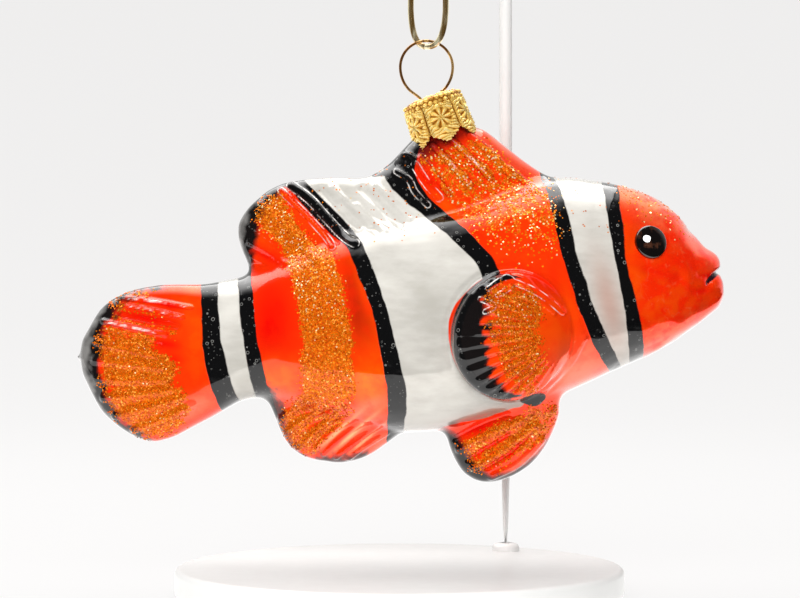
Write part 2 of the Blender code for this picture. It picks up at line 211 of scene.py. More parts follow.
paper, tree, shader = new_material("sweep_paper", Roughness=0.9, Specular_IOR_Level=0.1)
shader.inputs["Emission Color"].default_value = (1.0, 0.99, 0.985, 1)
shader.inputs["Emission Strength"].default_value = SWEEP_GLOW
tone = mixed(tree, waves(tree, 3.0, 2.0), (0.055, 0.055, 0.055, 1), (0.065, 0.065, 0.065, 1))
tree.links.new(tone, shader.inputs["Base Color"])
sweep = stage_object("sweep", mesh, paper)
sweep.visible_diffuse = False
sweep.visible_glossy = False
sweep.visible_shadow = False
print("sweep", len(mesh.polygons), "faces")

# %% Glowing cards, which only light and reflections see
SLANT_FROM = 0.055  # how far right of the stand's middle a card's front edge starts to slant back


def glowing_card(name, left, right, front, back, height, strength, fade, slant=0.0):
    """A level card of light, whose front edge fades in over a length."""
    bm = bmesh.new()
    bmesh.ops.create_grid(bm, x_segments=1, y_segments=1, size=0.5)
    bmesh.ops.scale(bm, vec=(right - left, back - front, 1), verts=bm.verts)
    bmesh.ops.translate(bm, vec=((left + right) / 2, (front + back) / 2, height), verts=bm.verts)
    mesh = bpy.data.meshes.new(name)
    bm.to_mesh(mesh)
    bm.free()
    glow, tree, shader = new_material(name, Base_Color=(0, 0, 0, 1), Roughness=1.0)
    across, inward, _ = node(tree, "ShaderNodeSeparateXYZ", {0: on_piece(tree)}).outputs
    beyond = maths(tree, "MAXIMUM", maths(tree, "SUBTRACT", across, SLANT_FROM), 0.0)
    inward = maths(tree, "SUBTRACT", inward, maths(tree, "MULTIPLY", beyond, slant))
    share = ramp(tree, inward, front, front + fade)
    tree.links.new(mixed(tree, share, (0, 0, 0, 1), (1.0, 0.99, 0.98, 1)), shader.inputs["Emission Color"])
    shader.inputs["Emission Strength"].default_value = strength
    card = stage_object(name, mesh, glow)
    card.visible_camera = False
    card.visible_shadow = False


TABLE = {"left": -0.6, "right": 0.6, "front": -0.064, "back": 0.75, "height": -0.001}
OVERHEAD = {"left": -0.39, "right": 0.19, "front": -0.17, "back": 0.45, "height": 0.46}
glowing_card("table_glow", **TABLE, strength=1.5, fade=0.003, slant=1.2)
glowing_card("softbox_over", **OVERHEAD, strength=4.3, fade=0.22)

# %% Lights and surroundings


def fill_light(name, size, place, aim, power):
    """A soft light that reflections don't show."""
    light = bpy.data.lights.new(name, "AREA")
    light.shape = "RECTANGLE"
    light.size, light.size_y = size
    light.energy = power
    obj = bpy.data.objects.new(name, light)
    obj.location = place
    obj.rotation_euler = (Vector(aim) - Vector(place)).to_track_quat("-Z", "Y").to_euler()
    obj.visible_camera = False
    obj.visible_glossy = False
    bpy.context.scene.collection.objects.link(obj)


fill_light("fill_front", size=(0.9, 0.5), place=(-0.1, -0.75, 0.40), aim=(0.0, 0.0, 0.05), power=14.0)
fill_light("fill_low", size=(0.5, 0.24), place=(0.0, -0.185, 0.0), aim=(0.0, -0.185, 1.0), power=0.70)

SEEN_GLOW = 0.87  # how bright the surroundings look to the camera
DARK_FRONT = 0.035  # and to the glass, in front of it
LIGHT_BACK = 0.85  # and behind it
world = bpy.data.worlds.new("studio")
bpy.context.scene.world = world
world.use_nodes = True
tree = world.node_tree
way = node(tree, "ShaderNodeTexCoord").outputs["Generated"]
behind = node(tree, "ShaderNodeSeparateXYZ", {0: way}).outputs["Y"]
mirrored = ramp(tree, behind, -0.12, 0.45, DARK_FRONT, LIGHT_BACK)
seen = node(tree, "ShaderNodeLightPath").outputs["Is Camera Ray"]
strength = between(tree, seen, mirrored, SEEN_GLOW)
tree.links.new(strength, tree.nodes["Background"].inputs["Strength"])
tree.nodes["Background"].inputs["Color"].default_value = (1.0, 0.995, 0.985, 1)
bpy.context.scene.view_settings.view_transform = "Standard"

# %% [markdown]
# ## One glass skin
# The real fish is one blown shell, while the solids are parted where a person names its parts. So the
# glass nodes are copied, grown until their gaps close, and remeshed into one skin, which shrinks back to
# the solids' size. The last step lets the faceted solids melt together, as hot glass does, and swells the
# skin smoothly again where this made it thinner. A boolean union would join the solids as well, but it
# would keep every facet and leave a crease at each join.

# %% Mesh helpers


def as_object(name, mesh, *materials):
    obj = bpy.data.objects.new(name, mesh)
    bpy.context.scene.collection.objects.link(obj)
    for material in materials:
        mesh.materials.append(material)
    return obj


def from_bmesh(name, bm, *materials, smooth=True):
    mesh = bpy.data.meshes.new(name)
    bmesh.ops.recalc_face_normals(bm, faces=bm.faces)
    bm.to_mesh(mesh)
    bm.free()
    if smooth:
        mesh.shade_smooth()
    return as_object(name, mesh, *materials)


def apply_modifiers(obj):
    """Swaps an object's mesh for what its modifiers make of it."""
    graph = bpy.context.evaluated_depsgraph_get()
    mesh = bpy.data.meshes.new_from_object(obj.evaluated_get(graph))
    obj.modifiers.clear()
    old = obj.data
    obj.data = mesh
    mesh.name = obj.name
    bpy.data.meshes.remove(old)


def read(items, key, width=1, kind=np.float32):
    """One property of all of a mesh's points, edges, faces or corners."""
    found = np.empty(len(items) * width, kind)
    items.foreach_get(key, found)
    return found.reshape(-1, width) if width > 1 else found


def places(mesh):
    return read(mesh.vertices, "co", 3).astype(float)


def set_places(mesh, points):
    mesh.vertices.foreach_set("co", points.astype(np.float32).ravel())
    mesh.update()


def normals(mesh):
    return read(mesh.vertex_normals, "vector", 3).astype(float)


def corner_points(mesh):
    """The number of the point that each corner of each face sits on."""
    return read(mesh.loops, "vertex_index", kind=np.int32)


def save_flat_map(mesh, spots):
    """Keeps where each corner of each face lies on a flat picture."""
    mesh.uv_layers.new(name="OFBake").data.foreach_set("uv", spots.astype(np.float32).ravel())


def triangles(obj):
    return sum(len(face.vertices) - 2 for face in obj.data.polygons)


def merged_copy(name, nodes):
    """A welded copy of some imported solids, as one mesh."""
    bm = bmesh.new()
    for packed in nodes:
        bm.from_mesh(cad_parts[packed].data)
    bmesh.ops.remove_doubles(bm, verts=bm.verts, dist=0.01 * MM)
    return from_bmesh(name, bm)


# %% Grow, remesh and shrink back
GLASS = [name for name in sorted(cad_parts) if name.startswith("glass_")]
GROWTH = 0.3  # just over half the gap that parts two solids
VOXEL = 0.43
skin = merged_copy("glass_skin", GLASS)
set_places(skin.data, places(skin.data) + normals(skin.data) * GROWTH * MM)
remesh = skin.modifiers.new("one_shell", "REMESH")
remesh.mode = "VOXEL"
remesh.voxel_size = VOXEL * MM
remesh.use_smooth_shade = True
apply_modifiers(skin)
print("skin", len(skin.data.vertices), "points")

# %% Keep the outer shell only


def outer_shell(obj):
    """Deletes the closed bubbles that stay inside where two solids met."""
    bm = bmesh.new()
    bm.from_mesh(obj.data)
    bm.verts.ensure_lookup_table()
    seen = set()
    best = []
    for start in bm.verts:
        if start.index in seen:
            continue
        island = []
        waiting = [start]
        seen.add(start.index)
        while waiting:
            vert = waiting.pop()
            island.append(vert)
            for edge in vert.link_edges:
                other = edge.other_vert(vert)
                if other.index not in seen:
                    seen.add(other.index)
                    waiting.append(other)
        if len(island) > len(best):
            best = island
    kept = set(best)
    bmesh.ops.delete(bm, geom=[vert for vert in bm.verts if vert not in kept], context="VERTS")
    bm.to_mesh(obj.data)
    bm.free()


outer_shell(skin)
print("outer shell", len(skin.data.vertices), "points")

# %% Let the facets melt


class Melt:
    """Averages values over a mesh's neighbouring points, again and again."""

    def __init__(self, mesh):
        pairs = read(mesh.edges, "vertices", 2, np.int32)
        self.one, self.other = pairs.T
        self.count = len(mesh.vertices)
        self.shared = np.bincount(pairs.ravel(), minlength=self.count).astype(float)

    def once(self, values):
        total = np.bincount(self.one, weights=values[self.other], minlength=self.count)
        total += np.bincount(self.other, weights=values[self.one], minlength=self.count)
        return values + 0.5 * (total / self.shared - values)

    def __call__(self, values, times):
        columns = values.reshape(self.count, -1).T.copy()
        for i, column in enumerate(columns):
            for _ in range(times):
                column = self.once(column)
            columns[i] = column
        return columns.T.reshape(values.shape)


MELT_TIMES = 34
GIVE_BACK_TIMES = 90
melt = Melt(skin.data)
before = places(skin.data) - normals(skin.data) * GROWTH * MM
after = melt(before, MELT_TIMES)
set_places(skin.data, after)
outward = normals(skin.data)
lost = ((before - after) * outward).sum(axis=1)  # what melting took away, given back as a smooth swell
set_places(skin.data, after + outward * melt(lost, GIVE_BACK_TIMES)[:, None])
print("melting took away at most", round(float(lost.max()) / MM, 2), "mm")

# %% [markdown]
# ## Lines and patches
# The mould's ridges and the painter's lines are both drawn on the side view of the fish. A stroke is a
# row of (x, z, width) points on a smooth curve, a patch is a closed outline. Both answer one question for
# every point of the skin: how far is it from the edge, in millimetres, with inside counted as negative.
# A painted picture could hold the same lines, but a distance needs no picture and has no grain of its own.

# %% Strokes and patches
STEPS_BETWEEN = 6


def smooth_curve(points, closed=False):
    """A smooth curve through a few points, as rows of numbers."""
    rows = np.array(points, float)
    last = len(rows) if closed else len(rows) - 1
    curve = []
    for i in range(last):
        ids = [(i + k) % len(rows) if closed else min(max(i + k, 0), len(rows) - 1) for k in (-1, 0, 1, 2)]
        before, start, end, beyond = (rows[k] for k in ids)
        for t in np.linspace(0, 1, STEPS_BETWEEN, endpoint=False):
            curve.append(
                start * (2 * t**3 - 3 * t**2 + 1)
                + (end - before) / 2 * (t**3 - 2 * t**2 + t)
                + end * (3 * t**2 - 2 * t**3)
                + (beyond - start) / 2 * (t**3 - t**2)
            )
    return np.array(curve + ([] if closed else [rows[-1]]))


def to_segment(x, z, start, end):
    """Distance to a straight piece, and how far along it the nearest point is."""
    way = end[:2] - start[:2]
    along = ((x - start[0]) * way[0] + (z - start[1]) * way[1]) / max(way @ way, 1e-9)
    along = np.clip(along, 0, 1)
    return np.hypot(x - start[0] - along * way[0], z - start[1] - along * way[1]), along


def stroke(x, z, points):
    """How far each place is from the edge of a brush stroke, negative inside."""
    curve = smooth_curve(points)
    nearest = np.full(len(x), 1e3)
    for start, end in zip(curve, curve[1:]):
        distance, along = to_segment(x, z, start, end)
        width = start[2] + (end[2] - start[2]) * along
        nearest = np.minimum(nearest, distance - width / 2)
    return nearest


def of_width(points, width):
    """A line's points, all with the same width."""
    return [(*point, width) for point in points]


def patch(x, z, points):
    """How far each place is from a closed outline, negative inside."""
    curve = smooth_curve(points, closed=True)
    nearest = np.full(len(x), 1e3)
    inside = np.zeros(len(x), bool)
    for start, end in zip(curve, np.roll(curve, -1, axis=0)):
        nearest = np.minimum(nearest, to_segment(x, z, start, end)[0])
        crosses = (start[1] > z) != (end[1] > z)
        rise = end[1] - start[1] if end[1] != start[1] else 1e-9
        inside ^= crosses & (x < start[0] + (z - start[1]) * (end[0] - start[0]) / rise)
    return np.where(inside, -nearest, nearest)


def ease(low, high, value):
    """A soft step from 0 at low to 1 at high."""
    t = np.clip((value - low) / (high - low), 0, 1)
    return t * t * (3 - 2 * t)


# %% Unevenness
from mathutils import noise


def uneven(points, size, shift=0.0, lean=None, stretch=4.0):
    """Smooth random numbers about 0 in waves of a size in millimetres, drawn out along a lean if given."""
    along, across = points[:, 0] / MM, points[:, 2] / MM
    if lean is not None:
        turn = math.radians(lean)
        along, across = (
            (along * math.cos(turn) + across * math.sin(turn)) / stretch,
            across * math.cos(turn) - along * math.sin(turn),
        )
    rows = np.c_[along, points[:, 1] / MM, across] / size + shift
    return np.array([noise.noise(row) for row in rows.tolist()])


# %% [markdown]
# ## Relief
# The mould gives the fins their rays: long low welts with rounded ends, and hollows between them. They
# are real shape, because their edges catch the softbox as thin white outlines; the bump that the paint
# gets later only crisps those edges. Each ray, and each part of the face, is a line of (x, z) points with
# a half width and a height; a negative height is a hollow.

# %% Rays of the fins
REAR_RAYS = (
    (((-21.4, 19.6), (-16.9, 15.3), (-13.1, 11.1), (-12.2, 9.6)), 0.8, 0.50),
    (((-19.6, 20.6), (-16.2, 18.0), (-13.4, 14.9), (-10.2, 11.5), (-8.2, 10.2)), 1.1, 0.55),
    (((-19.4, 18.8), (-15.2, 14.2), (-11.6, 10.4)), 0.9, -0.55),
    (((-25.0, 17.1), (-21.1, 13.7), (-17.7, 10.7), (-15.1, 7.3)), 1.0, 0.40),
    (((-26.6, 13.6), (-22.4, 10.6)), 0.9, 0.40),
    (((-26.9, 10.6), (-23.6, 8.8), (-20.6, 6.7)), 0.8, 0.45),
    (((-26.4, 7.8), (-23.0, 6.4)), 0.8, 0.30),
)
SADDLE_RAYS = (
    (((-14.2, 19.8), (-11.0, 16.3), (-7.7, 12.9)), 1.0, -0.55),
    (((-12.2, 20.2), (-8.8, 16.6), (-5.8, 13.4)), 0.7, 0.40),
    (((-10.4, 17.4), (-6.8, 14.0), (-4.3, 11.9)), 0.9, -0.40),
    (((-7.9, 17.0), (-5.0, 14.2), (-2.6, 12.4)), 0.7, 0.40),
    (((-6.9, 20.0), (-3.5, 16.5), (-0.2, 13.5)), 1.0, -0.50),
    (((-4.4, 20.6), (-1.4, 17.4), (1.4, 14.4)), 0.7, 0.35),
)
FRONT_RAYS = (
    (((0.0, 26.0), (1.6, 25.8), (3.9, 23.0), (5.0, 21.0)), 0.6, 0.45),
    (((-0.9, 23.0), (1.3, 21.4), (2.4, 19.2), (4.6, 16.9)), 0.7, 0.50),
    (((2.4, 24.0), (4.4, 20.8), (6.6, 18.2)), 1.0, -0.65),
    (((3.4, 25.4), (6.2, 21.7), (8.2, 18.9)), 0.8, 0.50),
    (((5.5, 27.6), (9.0, 24.0), (12.1, 20.4)), 1.0, 0.40),
    (((9.0, 28.5), (12.1, 25.4), (15.6, 21.8)), 1.0, 0.40),
    (((12.1, 29.4), (16.1, 25.8), (19.2, 22.3)), 1.0, 0.35),
    (((19.0, 23.4), (21.8, 21.0), (23.6, 19.3)), 0.8, 0.40),
)
BELLY_RAYS = (
    # the anal fin
    (((-21.4, -21.0), (-18.6, -18.8), (-15.8, -17.6)), 0.9, 0.40),
    (((-20.4, -23.4), (-16.8, -20.6), (-13.0, -18.6)), 0.8, 0.45),
    (((-18.4, -26.0), (-14.8, -22.8), (-11.2, -20.0)), 0.8, 0.45),
    (((-15.6, -26.6), (-12.5, -23.4), (-8.6, -20.6)), 0.6, 0.50),
    (((-13.8, -27.2), (-10.4, -23.9), (-5.9, -20.8)), 0.6, 0.50),
    (((-11.6, -27.7), (-7.9, -24.7), (-3.7, -21.6)), 0.6, 0.50),
    (((-9.4, -27.9), (-6.1, -25.5), (-2.7, -23.4)), 0.6, 0.45),
    # the pelvic fins
    (((9.4, -24.4), (14.0, -22.0), (18.8, -20.2)), 0.8, -0.50),
    (((10.2, -26.4), (14.8, -23.8), (20.6, -21.2)), 0.9, 0.45),
    (((11.6, -28.2), (15.5, -25.9), (19.2, -23.7)), 0.7, -0.55),
    (((12.6, -29.6), (17.0, -27.2), (23.6, -22.0)), 0.9, 0.45),
    (((15.0, -29.7), (18.9, -27.3), (22.6, -24.1)), 0.6, -0.50),
    (((16.0, -31.2), (20.8, -28.8), (24.8, -24.6)), 0.9, 0.45),
)
TAIL_RAYS = (
    (((-49.6, 0.4), (-46.1, 0.2), (-42.0, -0.3), (-37.1, -1.2)), 0.55, 0.55),
    (((-48.6, -0.9), (-44.5, -1.5), (-38.5, -2.9)), 0.55, 0.60),
    (((-49.6, -2.4), (-44.6, -3.3), (-39.6, -4.4)), 0.8, -0.45),
    (((-53.0, -3.6), (-49.4, -4.3), (-45.9, -5.0), (-41.6, -5.9)), 0.6, 0.65),
    (((-53.6, -5.4), (-48.0, -6.4), (-42.6, -7.9)), 0.8, -0.40),
    (((-54.2, -7.2), (-49.0, -8.4), (-43.0, -9.6)), 0.9, 0.45),
    (((-54.4, -10.4), (-49.3, -11.0), (-42.4, -11.7)), 1.0, 0.45),
    (((-54.0, -13.7), (-48.4, -13.9), (-41.8, -13.8)), 1.0, 0.45),
    (((-52.8, -17.2), (-47.4, -16.6), (-40.8, -15.6)), 1.0, 0.45),
    (((-50.8, -20.4), (-45.6, -19.0), (-39.6, -17.2)), 1.0, 0.45),
    (((-47.6, -22.8), (-43.0, -21.2), (-36.9, -18.4)), 0.9, 0.45),
)
RAYS = REAR_RAYS + SADDLE_RAYS + FRONT_RAYS + BELLY_RAYS + TAIL_RAYS
print(len(RAYS), "rays and hollows")


def welt(x, z, points, half_width, height, crest=0.2):
    """A long rounded ridge that follows a few points; crest is the share of it that is flat on top."""
    away = stroke(x, z, of_width(points, 0.0))
    return height * ease(half_width, half_width * crest, away)


# %% The pectoral fin's fan
FAN_ROOT = (30.0, -5.0)
FAN_FIRST = 141.0  # degrees
FAN_STEP = 6.7
PECTORAL_AT = (18.9, -6.1)
PECTORAL_SIZE = (10.6, 11.4)


def pectoral_reach(x, z):
    """0 in the middle of the pectoral fin and 1 at its rim."""
    return np.hypot((x - PECTORAL_AT[0]) / PECTORAL_SIZE[0], (z - PECTORAL_AT[1]) / PECTORAL_SIZE[1])


def fan_phase(x, z):
    turn = np.degrees(np.arctan2(z - FAN_ROOT[1], x - FAN_ROOT[0])) % 360
    return (turn - FAN_FIRST) / FAN_STEP


def fan(x, z):
    """The pectoral fin's ribs, deeper towards its rim."""
    away = np.hypot(x - FAN_ROOT[0], z - FAN_ROOT[1])
    inside = ease(0.99, 0.80, pectoral_reach(x, z))
    depth = 0.11 + 0.19 * ease(12.0, 16.0, x)
    return depth * np.cos(2 * np.pi * fan_phase(x, z)) * ease(5.0, 13.0, away) * inside


FAN_FOLDS = (
    (((14.6, 2.0), (17.9, 4.2), (18.9, 2.8), (16.4, 1.0)), 0.55, 0.45),
    (((13.4, 0.4), (15.8, -0.8), (14.2, -1.8)), 0.55, 0.45),
    (((18.3, 3.6), (21.9, 2.2), (25.2, 0.2), (27.7, -1.9)), 0.7, 0.50),
    (((19.1, 0.8), (22.3, 0.8), (26.2, -1.9)), 0.6, 0.40),
    (((31.6, -6.4), (29.7, -10.1), (27.3, -13.5), (24.9, -16.0)), 0.8, 0.45),
)

# %% The face
FACE = (
    (((54.0, 6.9), (54.8, 6.5)), 2.6, 0.50),  # nose
    (((51.6, 12.2), (53.2, 9.4)), 2.4, -0.40),  # brow
    (((52.3, 4.7), (54.6, 4.3), (55.8, 5.2)), 0.8, -0.18),  # crease under the nose
    (((51.3, 1.7), (53.5, 1.9)), 1.0, -0.16),  # dimple behind the mouth
    (((54.8, 2.2), (56.5, 3.3)), 1.6, 0.26),  # lower lip
    (((54.2, 3.2), (55.4, 4.4), (58.0, 6.4)), 0.7, -0.75),  # mouth
    (((40.2, 9.6), (41.6, 13.4), (45.2, 13.8)), 1.4, -0.16),  # above the eye
    (((42.8, 5.0), (45.9, 3.1), (48.7, 3.9)), 1.6, -0.22),  # cheek
    (((46.6, 8.2), (49.4, 6.4), (50.2, 3.4)), 1.4, 0.16),
)
print(len(FACE), "features of the face and", len(FAN_FOLDS), "folds round the pectoral fin")

# %% Raise the relief


def side_view(mesh):
    """A mesh's points, with how far each is ahead of the fish's middle and above it in millimetres."""
    points = places(mesh)
    return points, (points[:, 0] - FISH.x) / MM, (points[:, 2] - FISH.z) / MM


points, x_mm, z_mm = side_view(skin.data)
side_on = ease(0.25, 0.7, np.abs(normals(skin.data)[:, 1]))  # ridges run out where the skin turns over
height = sum(welt(x_mm, z_mm, *ray) for ray in RAYS) * side_on
height += sum(welt(x_mm, z_mm, *part, crest=0.0) for part in FACE) + fan(x_mm, z_mm)
height += sum(welt(x_mm, z_mm, *fold) for fold in FAN_FOLDS)
height -= 0.35 * ease(0.9, 0.0, np.abs(pectoral_reach(x_mm, z_mm) - 1.05) * 11)  # under the fin's rim
height += 0.05 * uneven(points, 3.0) + 0.10 * uneven(points, 9.0, 5.0)  # blown glass is never quite even
height += 0.16 * uneven(points, 3.4, 7.0) * ease(40.0, 44.0, x_mm)  # and the face was modelled by hand
set_places(skin.data, points + normals(skin.data) * height[:, None] * MM)
print("relief from", round(float(height.min()), 2), "to", round(float(height.max()), 2), "mm")

# %% [markdown]
# ## The painter's plan
# The painter lays clear orange-red lacquer over the silver, then pearl white, which is brighter where its
# coat is thick and where painted light lies on it, and duller under painted shade. Fine glitter comes next,
# then black thinned out round the fin rims, the opaque black lines that hide the joins, and last the big
# flakes. Thin white lines round some rays and along others are painted highlights, and those lines are
# worked out from the rays. Each layer is a distance or an amount kept on every point of the skin, and the
# shader turns it into paint with a brush's edge.
# Only the lacquer's soft tints, with painted shade, highlights and reflections among them, are kept as a
# colour. A line kept that way would blur from one point to the next, while a distance changes evenly
# between them, so the shader can cut a crisp edge out of it.

# %% Black lines: x, z, width
BLACK_LINES = (
    # from the cap down the dorsal fin's rear edge, then slanting to the pectoral fin
    ((2.0, 30.0, 3.6), (0.4, 26.2, 5.0), (-0.4, 23.0, 5.4), (1.2, 20.0, 4.2), (3.6, 17.3, 3.2),
     (6.6, 14.6, 2.9), (9.5, 12.1, 2.9), (11.9, 9.6, 2.9), (14.3, 7.0, 2.9), (15.4, 4.6, 3.2)),
    # behind the white saddle
    ((-20.8, 22.6, 2.6), (-18.7, 20.7, 3.0), (-16.1, 17.9, 3.2), (-13.2, 15.0, 3.4), (-11.0, 12.7, 3.2),
     (-8.4, 10.0, 2.7), (-6.4, 5.6, 2.8), (-4.8, 1.4, 2.6), (-3.4, -3.2, 2.5), (-2.2, -8.6, 2.9),
     (-1.3, -12.8, 3.1), (-0.8, -17.0, 3.2), (-1.0, -21.7, 3.0), (-1.4, -26.0, 2.6)),
    # the tail stalk
    ((-34.4, 6.0, 3.0), (-34.1, 2.8, 3.1), (-33.6, -3.8, 3.1), (-33.0, -9.3, 3.6), (-31.8, -14.6, 3.7),
     (-30.4, -18.5, 3.6), (-29.2, -22.0, 3.6)),
    ((-28.0, 6.0, 2.3), (-27.8, 4.2, 2.5), (-27.1, -1.9, 2.6), (-26.3, -8.0, 2.5), (-25.2, -13.8, 2.7),
     (-24.4, -17.1, 2.8), (-23.4, -20.0, 2.8)),
    # the head band
    ((25.0, 26.0, 2.2), (25.6, 22.8, 2.2), (27.0, 17.5, 2.5), (27.8, 14.0, 2.6), (28.9, 8.3, 2.6),
     (30.5, 3.3, 2.6), (32.0, -1.2, 2.6), (33.4, -4.5, 2.6), (35.0, -7.8, 2.6), (36.6, -10.2, 2.4),
     (38.4, -12.6, 1.9), (40.0, -15.0, 1.6)),
    ((36.9, 24.0, 2.6), (36.9, 21.0, 2.8), (36.9, 17.5, 2.5), (37.3, 13.4, 2.5), (37.8, 8.3, 1.9),
     (38.7, 3.6, 2.0), (39.9, -1.0, 2.4), (40.8, -5.8, 2.7), (41.6, -10.0, 2.6), (42.4, -14.0, 2.4)),
    # the drop under the pectoral fin
    ((21.6, -17.2, 1.6), (23.3, -17.4, 2.3), (24.7, -16.9, 1.4)),
    # where the first line's lacquer ran along the saddle's edge
    ((-4.9, 22.3, 0.6), (-3.2, 22.7, 1.0), (-1.4, 23.2, 1.8)),
)
print(len(BLACK_LINES), "black lines")

# %% White patches, whose edges run under the middles of the black lines


def middle_of(line):
    return [point[:2] for point in BLACK_LINES[line]]


CAP_LINE, REAR_LINE, STALK_REAR, STALK_FRONT, HEAD_REAR, HEAD_FRONT = range(6)
BELLY_EDGE = [(5.6, -26.0), (6.6, -22.6), (14.5, -20.6), (19.3, -18.9), (21.7, -17.7), (21.0, -10.0)]
BACK_EDGE = [(-2.4, 22.8), (-5.4, 25.0), (-19.6, 25.0)]
SADDLE = middle_of(REAR_LINE) + BELLY_EDGE + middle_of(CAP_LINE)[:2:-1] + BACK_EDGE
HEAD_BAND = middle_of(HEAD_REAR) + middle_of(HEAD_FRONT)[::-1]
STALK_BAND = middle_of(STALK_REAR) + middle_of(STALK_FRONT)[::-1]
print("points in the outlines:", [len(shape) for shape in (SADDLE, HEAD_BAND, STALK_BAND)])

# %% Thinned black round the rims: x, z, width, then how dark and how ragged
SMOKE_RIMS = (
    (((-42.2, 2.2, 0.5), (-45.4, 2.6, 1.9), (-49.8, 2.4, 4.4), (-53.5, -0.6, 6.8), (-56.4, -4.8, 8.0),
      (-57.2, -8.7, 8.4), (-56.8, -13.1, 7.8), (-55.0, -17.2, 6.4), (-51.8, -21.4, 5.0), (-47.8, -24.2, 3.2),
      (-43.6, -25.4, 1.6)), 1.0, 0.9),
    (((-18.6, 22.4, 3.0), (-23.0, 21.0, 4.4), (-27.2, 17.8, 6.4), (-29.0, 13.4, 7.4), (-28.8, 9.6, 6.0),
      (-27.6, 6.2, 2.6)), 1.0, 0.6),
    (((-23.8, -16.6, 3.0), (-22.9, -20.4, 4.6), (-21.0, -25.0, 3.0), (-17.4, -28.0, 1.6),
      (-14.0, -29.2, 3.4), (-10.0, -29.2, 3.4), (-6.4, -28.0, 1.8)), 0.95, 0.9),
    (((7.4, -23.6, 2.4), (8.4, -26.2, 5.4), (10.6, -29.8, 5.4), (14.0, -31.8, 3.6), (18.4, -31.8, 2.2),
      (23.6, -28.4, 1.4), (26.4, -24.8, 1.2)), 1.0, 0.3),
)
print(len(SMOKE_RIMS), "thinned rims")

# %% Painted highlights: thin white lines round some rays and along the crests of others
PAINTED_GLINT_ROUND = REAR_RAYS[:2] + FRONT_RAYS[1:3] + FAN_FOLDS[:3]  # rays with a painted highlight all round them
PAINTED_GLINT_ROUND_AT = 0.75  # where that line runs, as a share of the ray's half width
PAINTED_GLINT_CRESTS = TAIL_RAYS[:2] + TAIL_RAYS[3:4] + FRONT_RAYS[4:6]  # rays with a painted highlight along their crest
PAINTED_GLINT_CREST_WIDTH = 0.5
PAINTED_GLINT_CREST_END = 0.2  # how wide the streak is where it runs out


def painted_glint_round(ray):
    """A line round a ray: the ray's own stroke, drawn a little narrower."""
    line, half_width, _ = ray
    return of_width(line, 2 * half_width * PAINTED_GLINT_ROUND_AT)


def painted_glint_crest(ray):
    """A streak along a ray's crest that thins out towards both ends."""
    line = ray[0]
    ends = (0, len(line) - 1)
    return [(*point, PAINTED_GLINT_CREST_END if i in ends else PAINTED_GLINT_CREST_WIDTH) for i, point in enumerate(line)]


# the painted highlights: lines round some rays and streaks along the crests of others
print("silver round", len(PAINTED_GLINT_ROUND), "rays and along", len(PAINTED_GLINT_CRESTS))

# %% Glitter patches: outline, lean of the streaks, how much it thins off the rays, how ragged it ends
GLITTER = {
    "tail": (((-49.8, 1.9), (-45.4, 1.3), (-44.6, -0.4), (-46.0, -2.4), (-40.4, -2.2), (-42.2, -4.2),
             (-40.2, -5.6), (-43.4, -7.0), (-41.8, -9.1), (-38.9, -11.5), (-39.6, -14.0), (-38.0, -17.4),
             (-38.2, -19.9), (-41.8, -24.0), (-46.4, -24.0), (-50.9, -20.2), (-52.8, -15.4), (-53.5, -9.2),
             (-53.5, -5.0), (-51.0, -3.0), (-51.4, 0.2)), -8, 0.18, 0.9),
    "rear": (((-21.6, 19.2), (-25.5, 17.5), (-26.2, 15.2), (-24.9, 12.8), (-22.8, 11.4), (-20.9, 8.2),
             (-19.4, 4.0), (-18.2, -0.2), (-17.6, -4.3), (-17.5, -9.6), (-17.7, -15.1), (-16.6, -17.6),
             (-8.6, -16.9), (-8.2, -12.5), (-8.4, -6.7), (-9.2, -1.8), (-10.5, 4.0), (-12.2, 8.3),
             (-16.5, 11.3), (-19.5, 15.5)), -20, 0.15, 0.25),
    "anal": (((-17.9, -16.4), (-9.8, -17.0), (-9.3, -20.2), (-11.9, -22.8), (-14.5, -25.8), (-16.6, -27.8),
             (-20.7, -25.1), (-21.2, -21.6)), 40, 0.35, 0.35),
    "front": (((2.9, 25.2), (5.2, 26.0), (9.6, 27.9), (13.4, 29.0), (17.0, 27.0), (20.4, 23.8), (24.4, 20.2),
              (26.8, 16.7), (28.0, 11.3), (26.0, 5.7), (20.4, 5.0), (15.3, 7.4), (11.9, 12.6),
              (8.9, 16.9), (6.1, 21.3), (3.6, 24.8)), -46, 0.40, 0.5),
    "pectoral": (((15.2, 2.0), (19.4, 2.6), (24.4, -0.6), (23.6, -5.0), (24.2, -9.6), (23.6, -14.6),
                 (20.2, -15.4), (17.2, -11.8), (15.8, -8.0), (15.2, -2.6)), 0, 0.12, 0.9),
    "pelvic": (((10.6, -24.8), (15.9, -21.6), (22.5, -18.8), (27.4, -18.6), (26.7, -21.7), (25.0, -24.6),
               (22.5, -26.3), (18.9, -28.6), (14.7, -30.2), (11.8, -29.4)), 34, 0.35, 0.6),
}
print("glitter on:", list(GLITTER))

# %% Colours of the clear lacquer over silver, with painted shade, highlights and reflections among them
ORANGE = (0.98, 0.040, 0.001)
# deep red is also painted shade where it darkens the hollows between rays and the creases of the face
DEEP_RED = (0.90, 0.002, 0.0005)
BRIGHT_ORANGE = (1.0, 0.080, 0.0005)
AMBER = (1.0, 0.14, 0.001)
# painted reflection: the bright table and softbox mirrored pink on rims that face down or up
PAINTED_REFLECTION_SALMON = (0.94, 0.17, 0.09)
# painted shade under the cap's petals
PAINTED_SHADE_MAROON = (0.10, 0.006, 0.006)
# painted shade: darker red-brown beside the black line behind the saddle
PAINTED_SHADE_RUSSET = (0.42, 0.014, 0.001)
# painted highlight: the softbox's glare on top of the head, and pale lines along the anal fin's rays
PAINTED_HIGHLIGHT_PEACH = (0.96, 0.40, 0.18)


